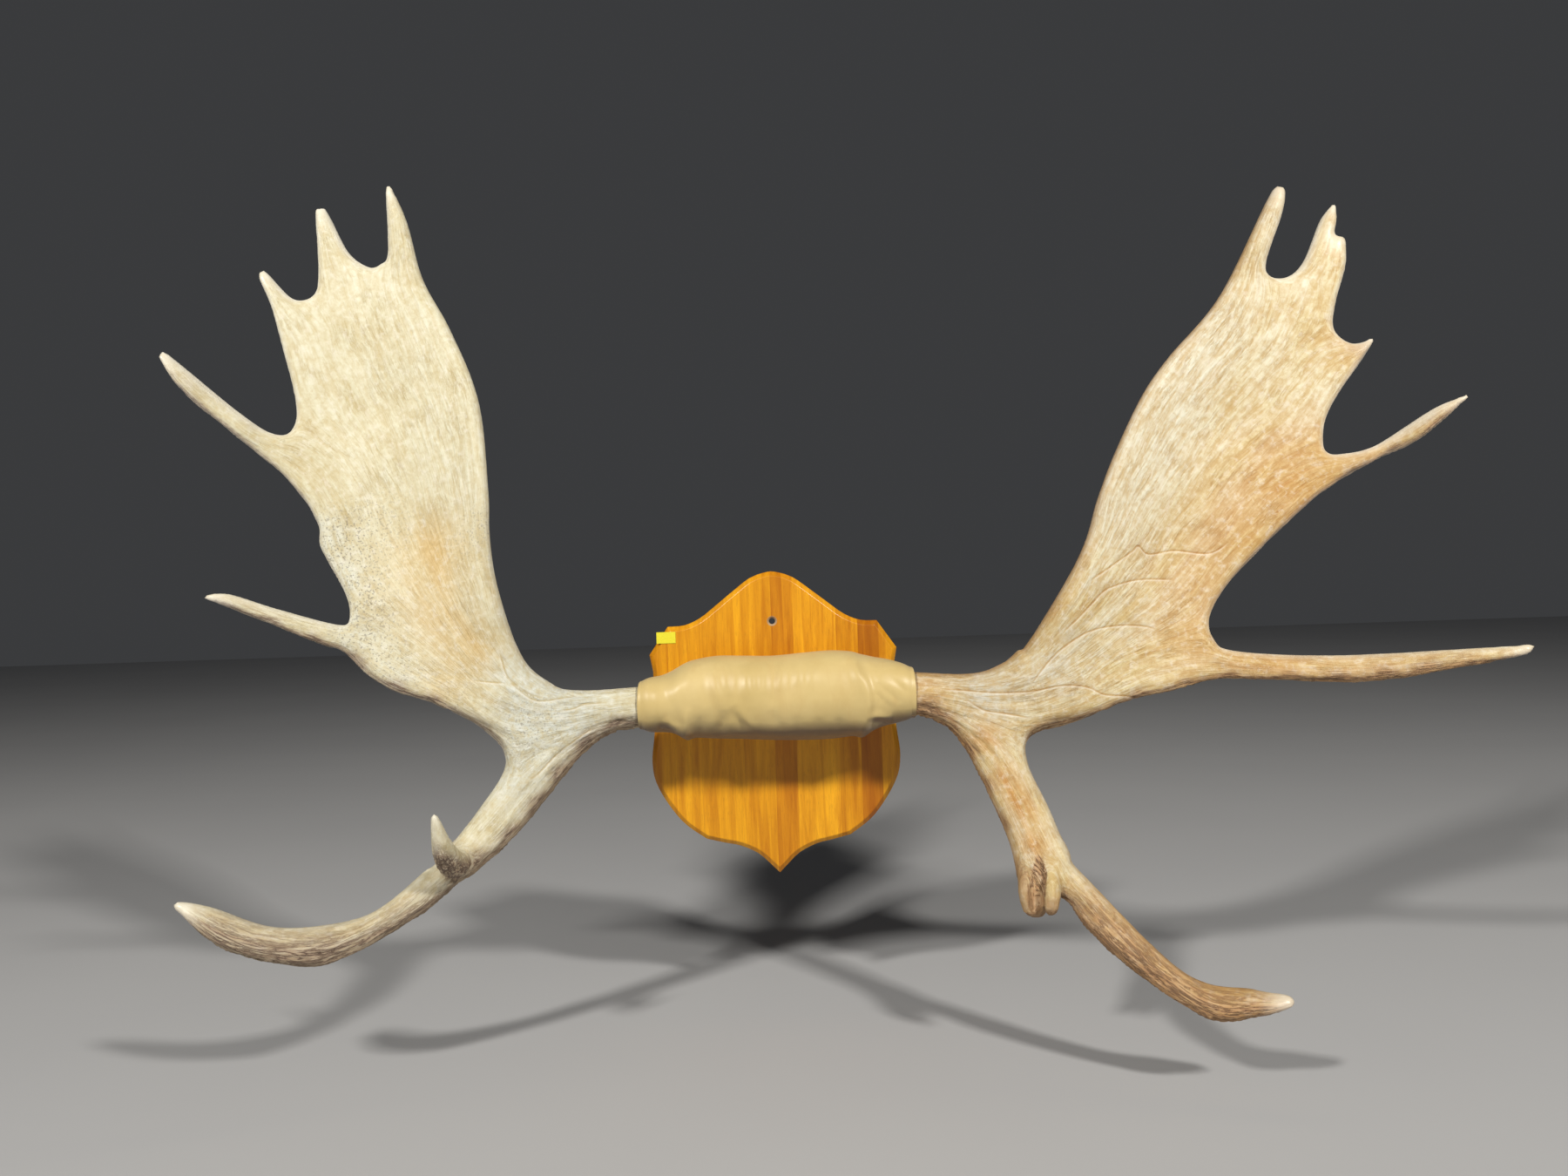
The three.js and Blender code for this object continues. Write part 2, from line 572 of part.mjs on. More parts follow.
// One antler, parted at its fork into beam, palm and brow branch.
function antlerPieces(antler) {
  const inside = new THREE.BoxGeometry(BURR_X * 2, WIDE, WIDE);
  const whole = antler.spurs
    .reduce((body, spur) => body.add(toSolid(horn(spur))), antlerPlate(antler))
    .subtract(toSolid(inside));
  const parted = antler.cuts
    .reduce((body, toward) => body.subtract(sawCut(antler.notch, toward)), whole)
    .decompose();
  if (parted.length !== 3) {
    throw new Error(`${antler.name} antler parts into ${parted.length} pieces`);
  }
  const reach = (solid) => solid.boundingBox();
  const byHeight = [...parted].sort((a, b) => reach(b).max[2] - reach(a).max[2]);
  const palm = byHeight[0];
  const [beam, brow] = byHeight.slice(1).sort((a, b) => reach(b).min[2] - reach(a).min[2]);
  return { beam, palm, brow };
}

// ---- Assembly -----------------------------------------------------------------------------------

const finishes = {
  wood: { color: 0xd98f2e, roughness: 0.3, metalness: 0 },
  leather: { color: 0xdcc184, roughness: 0.7, metalness: 0 },
  bone: { color: 0xd9cdb4, roughness: 0.7, metalness: 0 },
  steel: { color: 0x8f9296, roughness: 0.4, metalness: 1 },
  paper: { color: 0xe8dc3a, roughness: 0.8, metalness: 0 },
};

const group = new THREE.Group();

function place(name, geometry, finish) {
  const mesh = new THREE.Mesh(geometry, new THREE.MeshStandardMaterial(finish));
  mesh.name = name;
  group.add(mesh);
}

place('shield_board', toGeometry(shieldBoard()), finishes.wood);
const boredSkull = screwBores().reduce((bone, bore) => bone.subtract(bore), skullPlate());
place('skull_plate', toGeometry(boredSkull), finishes.bone);
place('leather_cover', toGeometry(leatherCover()), finishes.leather);
place('left_back_screw', toGeometry(backScrew(-1)), finishes.steel);
place('right_back_screw', toGeometry(backScrew(1)), finishes.steel);
place('lot_label', lotLabel(), finishes.paper);
for (const antler of [LEFT, RIGHT]) {
  for (const [piece, solid] of Object.entries(antlerPieces(antler))) {
    place(`${antler.name}_${piece}`, toGeometry(solid), { color: antler.color, roughness: 0.55, metalness: 0 });
  }
}

export default group;
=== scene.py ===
# A pair of moose antlers on their skull plate, wrapped in leather and screwed to a wooden shield.
# Metres in Blender; sizes below are in millimetres and times MM. X to the viewer's right, Z up, and
# the viewer stands on the -Y side. The origin is on the shield's back face, which rests on a wall.
import math

import bmesh
import bpy
import numpy as np
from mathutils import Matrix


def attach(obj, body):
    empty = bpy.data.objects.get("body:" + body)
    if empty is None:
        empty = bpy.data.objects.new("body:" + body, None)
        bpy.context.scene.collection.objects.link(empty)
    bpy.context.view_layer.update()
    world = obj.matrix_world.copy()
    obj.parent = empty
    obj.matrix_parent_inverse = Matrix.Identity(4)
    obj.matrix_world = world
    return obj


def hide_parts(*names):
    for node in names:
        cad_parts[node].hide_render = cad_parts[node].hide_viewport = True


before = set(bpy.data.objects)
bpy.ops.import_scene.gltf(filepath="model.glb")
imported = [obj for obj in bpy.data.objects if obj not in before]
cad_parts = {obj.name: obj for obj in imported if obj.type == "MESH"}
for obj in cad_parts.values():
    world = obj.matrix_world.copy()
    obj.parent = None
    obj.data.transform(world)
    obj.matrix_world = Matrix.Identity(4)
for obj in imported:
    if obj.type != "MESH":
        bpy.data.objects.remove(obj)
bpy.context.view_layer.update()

import openvdb
from mathutils import Matrix, Vector
from mathutils.kdtree import KDTree

# ---- Camera, floor and light --------------------------------------------------------------------
# The viewer stands 1.3 m from the mount, a little above its middle. A pale studio floor lies below,
# and two softboxes stand high on the left and the right, with a weaker one in front.

MM = 0.001
EYE = Vector((14.5, -1319.0, 148.0)) * MM
ROLL = math.radians(1.85)
LENS = 27.04                      # focal length, in millimetres
SENSOR_WIDTH = 36.0
FLOOR_LEVEL = -320 * MM
FLOOR_REACH = 9.0                 # metres from the middle to each edge
# Softboxes: name, place, the place it is aimed at, width in metres, power in watts and colour.
SOFTBOXES = [
    ("left_softbox", (-2.0, -2.85, 2.55), (-0.1, -0.05, 0.12), 0.36, 122, (1.0, 0.97, 0.92)),
    ("right_softbox", (2.1, -2.80, 2.55), (0.1, -0.05, 0.12), 0.36, 122, (1.0, 0.97, 0.92)),
    ("front_softbox", (0.0, -2.6, 0.6), (0.0, -0.05, 0.05), 1.4, 1.5, (1.0, 0.98, 0.95)),
]

camera_data = bpy.data.cameras.new("camera")
camera_data.lens = LENS
camera_data.sensor_width = SENSOR_WIDTH
camera = bpy.data.objects.new("camera", camera_data)
camera.matrix_world = Matrix((
    (math.cos(ROLL), math.sin(ROLL), 0, EYE.x),
    (0, 0, -1, EYE.y),
    (-math.sin(ROLL), math.cos(ROLL), 0, EYE.z),
    (0, 0, 0, 1),
))
bpy.context.scene.collection.objects.link(camera)
bpy.context.scene.camera = camera


def add(tree, kind, inputs=None, **settings):
    """A new node. inputs pairs an input's name or number with a value or with the socket feeding it."""
    made = tree.nodes.new(kind)
    for key, value in settings.items():
        setattr(made, key, value)
    for key, value in (inputs or {}).items():
        if isinstance(value, bpy.types.NodeSocket):
            tree.links.new(value, made.inputs[key])
        else:
            made.inputs[key].default_value = value
    return made


def new_material(name):
    """A material with its node tree and its Principled shader."""
    material = bpy.data.materials.new(name)
    material.use_nodes = True
    return material, material.node_tree, material.node_tree.nodes["Principled BSDF"]


def object_place(tree):
    """Where on the piece a point is, in metres."""
    return add(tree, "ShaderNodeTexCoord").outputs["Object"]


def put(name, mesh, material):
    """A new object in the scene, at the origin."""
    made = bpy.data.objects.new(name, mesh)
    mesh.materials.clear()
    mesh.materials.append(material)
    bpy.context.scene.collection.objects.link(made)
    return made


def floor_material():
    """Pale matt studio floor, faintly cloudy."""
    material, tree, shader = new_material("pale_floor")
    place = object_place(tree)
    cloud = add(tree, "ShaderNodeTexNoise", {"Vector": place, "Scale": 1.5, "Detail": 3.0}).outputs[0]
    tone = add(tree, "ShaderNodeValToRGB", {0: cloud})
    tone.color_ramp.elements[0].color = (0.44, 0.44, 0.445, 1)
    tone.color_ramp.elements[1].color = (0.49, 0.49, 0.49, 1)
    tree.links.new(tone.outputs[0], shader.inputs["Base Color"])
    shader.inputs["Roughness"].default_value = 0.85
    return material


floor_mesh = bpy.data.meshes.new("floor")
floor_corners = [
    (x * FLOOR_REACH, y * FLOOR_REACH, FLOOR_LEVEL) for x, y in ((-1, -1), (1, -1), (1, 1), (-1, 1))]
floor_mesh.from_pydata(floor_corners, [], [(0, 1, 2, 3)])
put("floor", floor_mesh, floor_material())

world = bpy.data.worlds.new("studio")
world.use_nodes = True
backdrop = world.node_tree.nodes["Background"]
backdrop.inputs["Color"].default_value = (0.78, 0.80, 0.84, 1)
backdrop.inputs["Strength"].default_value = 0.055
bpy.context.scene.world = world
bpy.context.scene.view_settings.view_transform = "Standard"


def softbox(name, at, aim, size, power, colour):
    """A square lamp that faces the place it is aimed at."""
    data = bpy.data.lights.new(name, "AREA")
    data.size = size
    data.energy = power
    data.color = colour
    lamp = bpy.data.objects.new(name, data)
    lamp.location = at
    lamp.rotation_euler = (Vector(aim) - Vector(at)).to_track_quat("-Z", "Y").to_euler()
    bpy.context.scene.collection.objects.link(lamp)


for row in SOFTBOXES:
    softbox(*row)

# ---- Wooden shield ------------------------------------------------------------------------------
# A board glued up from upright hardwood staves, sawn to a shield, bevelled along its front edge and
# varnished. It has a countersunk hole to hang it by and two screw holes sunk into its back.

BOARD_FRONT = -19.0
BOARD_SPACING = 7.0               # between the points of a curved side
# Profile of the front edge, a bevel with softened corners, as (distance in from the outline, y).
BOARD_EDGE = [(0, 0), (0, -13.2), (0.2, -13.9), (0.6, -14.6), (4.4, -18.4), (5.1, -18.8), (5.8, -19)]
# The right half of the outline, from the top point down, as (x, z). The left half mirrors it.
SHIELD_TOP = [(0, 167), (9, 165.5), (24, 160), (43, 146), (62, 131), (80, 117.5), (98, 110), (116, 109)]
SHIELD_EAR = [(137, 78.5)]
SHIELD_SIDE = [(133.5, 60), (133.5, 0), (137.5, -41), (131, -70), (107, -106), (80, -127)]
SHIELD_FOOT = [(80, -127), (60, -132), (42, -136), (23, -145), (11, -156), (0, -167)]
# Holes through the board. sink is the countersink's radius, head_radius that of the room for the head.
HANG_HOLE = {"x": 0, "z": 112, "radius": 3.5, "sink": 5.2}
BACK_SCREW = {"x": 30, "z": 24, "radius": 2.85, "head_radius": 4.95, "head_depth": 5.0}
CUTTER_REACH = 1.0                # how far a hole's cutter stands out of the board


def spline(points, spacing):
    """Points spaced along a smooth curve through the given ones."""
    points = np.asarray(points, float)
    padded = np.vstack([points[:1], points, points[-1:]])
    stretches = []
    for before, start, end, after in zip(padded, padded[1:], padded[2:], padded[3:]):
        t = np.linspace(0, 1, max(2, round(np.linalg.norm(end - start) / spacing)), endpoint=False)[:, None]
        leaving, arriving = (end - before) / 2, (after - start) / 2
        stretches.append(
            (2 * start - 2 * end + leaving + arriving) * t ** 3
            + (3 * end - 3 * start - 2 * leaving - arriving) * t ** 2 + leaving * t + start)
    return np.vstack([*stretches, points[-1:]])


def turned(bm, profile, x, z, sides=40):
    """Closed round body on an axis along Y, through (radius, y) points from its front to its back."""
    angles = [2 * math.pi * k / sides for k in range(sides)]
    rings = []
    for radius, y in profile:
        circle = [(x + radius * math.cos(angle), y, z + radius * math.sin(angle)) for angle in angles]
        rings.append([bm.verts.new(Vector(point) * MM) for point in circle])
    for front, back in zip(rings, rings[1:]):
        for k in range(sides):
            bm.faces.new((front[k], back[k], back[(k + 1) % sides], front[(k + 1) % sides]))
    bm.faces.new(rings[0])
    bm.faces.new(rings[-1][::-1])


def finished_mesh(bm, name):
    """The bmesh as a mesh, smooth, with its faces pointing outwards."""
    bmesh.ops.recalc_face_normals(bm, faces=bm.faces)
    mesh = bpy.data.meshes.new(name)
    bm.to_mesh(mesh)
    bm.free()
    mesh.shade_smooth()
    return mesh


def as_plain_mesh(obj):
    """Turns what obj's modifiers give into its own mesh."""
    shape = bpy.data.meshes.new_from_object(obj.evaluated_get(bpy.context.evaluated_depsgraph_get()))
    obj.modifiers.clear()
    obj.data = shape


def inset(outline, distance):
    """The outline, which runs clockwise, moved inwards with mitred corners."""
    arriving = outline - np.roll(outline, 1, axis=0)
    middle = np.zeros_like(outline)
    for side in (arriving, np.roll(arriving, -1, axis=0)):
        middle += np.c_[side[:, 1], -side[:, 0]] / np.linalg.norm(side, axis=1)[:, None]
    return outline + middle * 2 * distance / (middle ** 2).sum(axis=1)[:, None]


def shield_mesh():
    """The board without its holes: rings from the back of the edge up round the bevel, and two faces."""
    right = np.vstack([
        spline(SHIELD_TOP, BOARD_SPACING), SHIELD_EAR, spline(SHIELD_SIDE, BOARD_SPACING),
        spline(SHIELD_FOOT, BOARD_SPACING)[1:]])
    outline = np.vstack([right, right[-2:0:-1] * (-1, 1)])
    bm = bmesh.new()
    rings = []
    for distance, y in BOARD_EDGE:
        rings.append([bm.verts.new(Vector((x, y, z)) * MM) for x, z in inset(outline, distance)])
    count = len(outline)
    for lower, upper in zip(rings, rings[1:]):
        for k in range(count):
            bm.faces.new((lower[k], lower[(k + 1) % count], upper[(k + 1) % count], upper[k]))
    bm.faces.new(rings[0][::-1])
    bm.faces.new(rings[-1])
    return finished_mesh(bm, "shield_board_shape")


def shield_cutters():
    """What the countersink bit and the two stepped bits take out of the board."""
    bm = bmesh.new()
    hole, screw = HANG_HOLE, BACK_SCREW
    countersunk = [
        (hole["sink"] + CUTTER_REACH, BOARD_FRONT - CUTTER_REACH),
        (hole["radius"], BOARD_FRONT + hole["sink"] - hole["radius"]),
        (hole["radius"], CUTTER_REACH)]
    stepped = [
        (screw["radius"], BOARD_FRONT - CUTTER_REACH), (screw["radius"], -screw["head_depth"]),
        (screw["head_radius"], -screw["head_depth"]), (screw["head_radius"], CUTTER_REACH)]
    turned(bm, countersunk, hole["x"], hole["z"])
    for side in (-1, 1):
        turned(bm, stepped, side * screw["x"], screw["z"])
    return finished_mesh(bm, "shield_cutters")


def colour_ramp(tree, factor, stops, interpolation="LINEAR"):
    """Colours along a factor from 0 to 1, as {place: (red, green, blue)}."""
    made = add(tree, "ShaderNodeValToRGB", {0: factor})
    made.color_ramp.interpolation = interpolation
    places = sorted(stops)
    while len(made.color_ramp.elements) < len(places):
        made.color_ramp.elements.new(1.0)
    for element, place in zip(made.color_ramp.elements, places):
        element.position = place
        element.color = (*stops[place], 1)
    return made.outputs[0]


def ranged(tree, value, low, high, new_low=0.0, new_high=1.0):
    """value taken from one range to another, and kept inside it."""
    return add(tree, "ShaderNodeMapRange", {0: value, 1: low, 2: high, 3: new_low, 4: new_high}).outputs[0]


def mixed(tree, factor, first, second, blend="MIX"):
    """Two colours mixed; each is a socket or a (red, green, blue)."""
    inputs = {0: factor}
    for key, colour in ((6, first), (7, second)):
        inputs[key] = colour if isinstance(colour, bpy.types.NodeSocket) else (*colour, 1)
    return add(tree, "ShaderNodeMix", inputs, data_type="RGBA", blend_type=blend).outputs[2]


def maths(tree, operation, first, second=0.0):
    """A sum on two values, or on one where the operation takes one."""
    return add(tree, "ShaderNodeMath", {0: first, 1: second}, operation=operation).outputs[0]


def stretched(tree, vector, scale):
    """A vector with each of its parts times its own scale."""
    return add(tree, "ShaderNodeVectorMath", {0: vector, 1: scale}, operation="MULTIPLY").outputs[0]


def noise(tree, vector, scale, detail=2.0, roughness=0.5, distortion=0.0):
    """Cloudy values around 0.5."""
    return add(tree, "ShaderNodeTexNoise", {
        "Vector": vector, "Scale": scale, "Detail": detail, "Roughness": roughness, "Distortion": distortion,
    }).outputs[0]


def bumped(tree, shader, height, distance, strength=1.0):
    """Lets a height drive the shader's normal. distance is in metres."""
    bump = add(tree, "ShaderNodeBump", {"Height": height, "Distance": distance, "Strength": strength})
    tree.links.new(bump.outputs[0], shader.inputs["Normal"])


# Staves: x of the left edge and colour. They are laid out from STAVES_START to as far on the right.
STAVES_START = -140.0
STAVES = [
    (-140, (0.72, 0.305, 0.006)), (-117, (0.79, 0.355, 0.008)), (-82, (0.74, 0.320, 0.007)),
    (-51, (0.79, 0.355, 0.008)), (-35, (0.75, 0.325, 0.007)), (-2, (0.62, 0.235, 0.005)),
    (22, (0.82, 0.370, 0.010)), (69, (0.70, 0.290, 0.006)), (93, (0.48, 0.160, 0.003)),
    (116, (0.76, 0.330, 0.008)),
]


def wood_material():
    """Varnished staves, each of one tone, with its own rings, fibres and pores."""
    material, tree, shader = new_material("varnished_wood")
    place = object_place(tree)
    across = add(tree, "ShaderNodeSeparateXYZ", {0: place}).outputs[0]
    share = ranged(tree, across, STAVES_START * MM, -STAVES_START * MM)
    stops = {(edge - STAVES_START) / (-2 * STAVES_START): colour for edge, colour in STAVES}
    stave = colour_ramp(tree, share, stops, "CONSTANT")
    # each stave's own grain: the pattern is moved along by an amount taken from the stave's colour
    shift = stretched(tree, stave, (0.0, 9.0, 31.0))
    own_place = add(tree, "ShaderNodeVectorMath", {0: place, 1: shift}, operation="ADD").outputs[0]
    rings = noise(tree, stretched(tree, own_place, (1.0, 0.3, 0.06)), 130, 6.0, 0.6, 0.8)
    fibres = noise(tree, stretched(tree, own_place, (1.0, 1.0, 0.05)), 800, 3.0, 0.6)
    pores = noise(tree, stretched(tree, own_place, (1.0, 1.0, 0.12)), 1150, 1.0, 0.5)
    darker = mixed(tree, 1.0, stave, (0.74, 0.62, 0.50), "MULTIPLY")
    lighter = mixed(tree, 1.0, stave, (1.10, 1.16, 1.30), "MULTIPLY")
    ringed = mixed(tree, ranged(tree, rings, 0.34, 0.68), darker, lighter)
    fibred = mixed(tree, ranged(tree, fibres, 0.5, 0.75, 0.0, 0.30), ringed, darker)
    pored = mixed(tree, ranged(tree, pores, 0.58, 0.70, 0.0, 0.16), fibred, (0.22, 0.07, 0.008))
    # the countersink of the hanging hole is worn to bare wood
    flat_place = stretched(tree, place, (1.0, 0.0, 1.0))
    hole_axis = (HANG_HOLE["x"] * MM, 0.0, HANG_HOLE["z"] * MM)
    from_hole = add(tree, "ShaderNodeVectorMath", {0: flat_place, 1: hole_axis}, operation="DISTANCE")
    bare = ranged(
        tree, from_hole.outputs["Value"], HANG_HOLE["sink"] * MM, (HANG_HOLE["sink"] + 0.5) * MM, 0.8, 0.0)
    tree.links.new(mixed(tree, bare, pored, (0.42, 0.33, 0.22)), shader.inputs["Base Color"])
    bumped(tree, shader, maths(tree, "SUBTRACT", rings, pores), 0.00012, 0.5)
    shader.inputs["Roughness"].default_value = 0.42
    shader.inputs["Specular IOR Level"].default_value = 0.25
    shader.inputs["Coat Weight"].default_value = 0.18
    shader.inputs["Coat Roughness"].default_value = 0.16
    return material


board = put("varnished_shield", shield_mesh(), wood_material())
cutters = put("shield_cutters", shield_cutters(), board.data.materials[0])
drill = board.modifiers.new("drill", "BOOLEAN")
drill.operation = "DIFFERENCE"
drill.solver = "EXACT"
drill.object = cutters
as_plain_mesh(board)
board.data.shade_smooth()
board.data.set_sharp_from_angle(angle=math.radians(28))
flatness = board.modifiers.new("flatness", "WEIGHTED_NORMAL")
flatness.keep_sharp = True
as_plain_mesh(board)
bpy.data.objects.remove(cutters)
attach(board, "root")
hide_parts("shield_board")

# ---- Skull plate and back screws ----------------------------------------------------------------
# The strip of skull that joins the antlers, held by two steel screws from the back of the board.
# The bone is hidden inside the leather, and of the screws only the slotted heads show from behind.


def bone_material():
    """Dry, pitted skull bone."""
    material, tree, shader = new_material("skull_bone")
    place = object_place(tree)
    cloud = noise(tree, place, 60, 6.0, 0.6)
    pits = noise(tree, place, 420, 3.0, 0.6)
    stops = {0.3: (0.46, 0.37, 0.24), 0.55: (0.66, 0.58, 0.43), 0.75: (0.74, 0.68, 0.54)}
    pitted = mixed(
        tree, ranged(tree, pits, 0.6, 0.7, 0.0, 0.5), colour_ramp(tree, cloud, stops), (0.28, 0.21, 0.13))
    tree.links.new(pitted, shader.inputs["Base Color"])
    bumped(tree, shader, pits, 0.0004)
    shader.inputs["Roughness"].default_value = 0.7
    return material


def steel_material():
    """Bright steel, brushed by the die."""
    material, tree, shader = new_material("screw_steel")
    place = object_place(tree)
    brushing = noise(tree, stretched(tree, place, (1.0, 0.1, 1.0)), 2200, 3.0, 0.6)
    tone = colour_ramp(tree, brushing, {0.3: (0.36, 0.35, 0.33), 0.7: (0.62, 0.61, 0.58)})
    tree.links.new(tone, shader.inputs["Base Color"])
    tree.links.new(ranged(tree, brushing, 0.2, 0.8, 0.28, 0.45), shader.inputs["Roughness"])
    shader.inputs["Metallic"].default_value = 1.0
    bumped(tree, shader, brushing, 0.00003)
    return material


def refinish(node, material):
    """Gives a CAD node, whose shape stays as it is, its finish."""
    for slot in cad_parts[node].material_slots:
        slot.material = material


refinish("skull_plate", bone_material())
screw_steel = steel_material()
for node_name in ("left_back_screw", "right_back_screw"):
    refinish(node_name, screw_steel)

# ---- Lot label ----------------------------------------------------------------------------------
# A small sticky paper label from a price gun, stuck over the edge of the shield's upper left ear
# and left blank.


def paper_material():
    """Yellow label paper with short fibres."""
    material, tree, shader = new_material("label_paper")
    place = object_place(tree)
    fibres = noise(tree, place, 1400, 4.0, 0.7)
    tone = colour_ramp(tree, fibres, {0.3: (0.74, 0.66, 0.02), 0.7: (0.86, 0.80, 0.03)})
    tree.links.new(tone, shader.inputs["Base Color"])
    bumped(tree, shader, fibres, 0.00003)
    shader.inputs["Roughness"].default_value = 0.6
    return material


refinish("lot_label", paper_material())

# ---- Leather cover ------------------------------------------------------------------------------
# A soft buckskin wrap, padded out over the skull plate and tacked behind. It is drawn into a few
# upright folds and two pointed tucks below, and each end is turned in tightly round its beam.

# Cross-sections: [x, lowest z, highest z, back, front], back and front measured from the board's front.
COVER_SECTIONS = [
    (-138, 4, 55, 34, 87), (-131, 1, 58, 28, 89), (-119, -0.5, 59.5, 14, 90), (-109, -3, 63, 2, 90),
    (-99, -7, 68.5, 0.6, 91), (-92, -10.5, 72, 0.6, 91), (-84, -8, 74.5, 0.6, 91), (-60, -9.5, 78, 0.6, 92),
    (-30, -11, 77, 0.6, 92), (0, -13, 76, 0.6, 92), (35, -14, 78.5, 0.6, 92), (60, -13.5, 80, 0.6, 92),
    (82, -11.5, 78.5, 0.6, 92), (92, -13.5, 75.5, 0.6, 91), (100, -9, 73.5, 1, 91),
    (108, -4.5, 71.5, 2, 91), (122, 0, 69, 14, 90), (136, 4, 65, 28, 89), (144, 7, 61, 34, 87),
]
COVER_SQUARENESS = {"top": 0.9, "bottom": 1.0}       # 1 is an ellipse, less is boxier
COVER_SIDES = 96
COVER_SPACING = 3.0
# Mouths: where each end is turned in round its beam: x, the beam's z and y, and the radius there.
COVER_MOUTHS = [(-141, 28, -82, 22.4), (147.5, 32, -82, 23.6)]
SLEEVE_END = 88.0                 # how far in the turned-in ends reach
SLEEVE_WIDENING = 4.0             # how much wider the sleeve is at its blind end
SLEEVE_RINGS = 10
LIP_RADIUS = 1.8
LIP_RINGS = 6
# Folds on the front: the path as (x, z), the half width, and the height, which is negative for a crease.
FOLD_HEIGHT = 1.2                 # both of these multiply what each fold says
FOLD_WIDTH = 1.35
FOLD_TAPER = 0.35                 # share of its length over which an end dies out
FOLDS = [
    # the shoulder where the padding starts, and the gathers along the upper front
    ([(-84, 66), (-93, 52), (-110, 42)], 6, 1.4), ([(-129, 54), (-130, 38), (-127, 18)], 3.5, 0.6),
    ([(-120, 56), (-121, 40), (-118, 18)], 3.5, 0.7), ([(-72, 70), (-70, 50), (-67, 30)], 5, -1.0),
    ([(-61, 68), (-59, 48), (-53, 30), (-47, 16)], 3.8, 1.1),
    ([(-55, 70), (-54, 52), (-49, 38)], 3.0, -0.7), ([(-48, 70), (-48, 52), (-46, 38)], 3.8, 1.0),
    ([(-38, 72), (-38, 52), (-39, 32)], 4.5, -1.1), ([(-28, 70), (-27, 54), (-27, 36)], 3.8, 1.1),
    ([(-22, 70), (-22, 54), (-22, 40)], 2.4, -0.6), ([(-17, 70), (-17, 54), (-17, 40)], 2.6, 0.8),
    ([(-12, 70), (-12, 54), (-12, 42)], 2.2, -0.6), ([(-8, 70), (-8, 54), (-8, 40)], 2.6, 0.8),
    ([(0, 72), (0, 50), (-1, 28)], 4.0, -1.0), ([(11, 72), (8, 56), (5, 42)], 3.2, 1.0),
    ([(18, 74), (17, 54), (15, 34)], 3.6, -0.8), ([(28, 76), (26, 60), (25, 46)], 3.4, 0.8),
    ([(34, 76), (33, 60), (32, 46)], 2.6, -0.5), ([(41, 76), (40, 60), (39, 46)], 3.4, 0.7),
    ([(58, 78), (58, 56), (57, 34)], 8, -0.8),
    # small tucks where it turns under
    ([(-50, 24), (-54, 10), (-60, -4)], 4.0, -1.5), ([(-45, 26), (-38, 13), (-31, 0)], 3.6, -1.7),
    ([(-36, 26), (-27, 13), (-17, 0)], 3.4, 1.1), ([(-76, 20), (-77, 6), (-78, -6)], 4.0, -1.0),
    ([(-5, 22), (4, 9), (10, -6)], 4.5, -0.9), ([(22, 16), (24, 4), (25, -8)], 4.5, -0.8),
    ([(45, 14), (47, 2), (48, -8)], 5.0, -0.9), ([(66, 14), (67, 2), (68, -8)], 4.5, -0.9),
    # the pointed tuck below on the right, with its ridge and the creases running off it
    ([(84, 76), (87, 60), (95, 44), (98, 24), (92, -6)], 4.2, 2.2),
    ([(77, 70), (79, 50), (83, 28), (85, 4)], 4.5, -1.2),
    ([(97, 66), (103, 44), (105, 24), (99, 6)], 3.8, -1.7), ([(95, 12), (106, 13), (122, 10)], 3.2, 1.8),
    ([(97, 3), (108, 4), (124, 4)], 3.6, -2.0), ([(102, 38), (112, 30), (122, 19)], 2.3, -0.8),
    ([(106, 47), (118, 37), (131, 26)], 2.3, -0.8), ([(116, 56), (128, 46), (139, 35)], 2.3, -0.7),
    # and the one on the left
    ([(-113, 17), (-103, 8), (-93, -6)], 3.2, 2.0), ([(-87, 28), (-90, 12), (-93, -5)], 3.4, 1.3),
    ([(-100, 32), (-98, 16), (-95, 5)], 3.4, -0.9), ([(-122, 8), (-110, 1), (-99, -6)], 3.6, -1.8),
]


def rounded_section(x, low, high, back, front):
    """One ring of the cover, as points in millimetres."""
    angle = np.arange(COVER_SIDES) / COVER_SIDES * 2 * math.pi
    up, out = np.cos(angle), np.sin(angle)
    power = np.where(up > 0, COVER_SQUARENESS["top"], COVER_SQUARENESS["bottom"])
    z = (low + high) / 2 + (high - low) / 2 * np.sign(up) * np.abs(up) ** power
    y = BOARD_FRONT - (back + front) / 2 - (front - back) / 2 * np.sign(out) * np.abs(out) ** power
    return np.c_[np.full(COVER_SIDES, float(x)), y, z]


def round_ring(x, z, y, radius):
    """A ring of the cover that lies close round the beam."""
    angle = np.arange(COVER_SIDES) / COVER_SIDES * 2 * math.pi
    return np.c_[np.full(COVER_SIDES, float(x)), y - radius * np.sin(angle), z + radius * np.cos(angle)]


def mouth_rings(x, z, y, radius, end_section):
    """Rings from the sleeve's blind end, along the beam and round the turned-in lip to the cover's end."""
    side = math.copysign(1, x)
    start = side * SLEEVE_END
    sleeve = [round_ring(start + (x - start) * t, z, y, radius + SLEEVE_WIDENING * (1 - t))
              for t in np.linspace(0, 0.94, SLEEVE_RINGS)]
    inner, outer = round_ring(x, z, y, radius), rounded_section(*end_section)
    for turn in np.linspace(0, math.pi, LIP_RINGS, endpoint=False):
        share = (1 - math.cos(turn)) / 2
        ring = inner + (outer - inner) * share
        ring[:, 0] = x - side * LIP_RADIUS * (1 - math.sin(turn))
        sleeve.append(ring)
    return sleeve


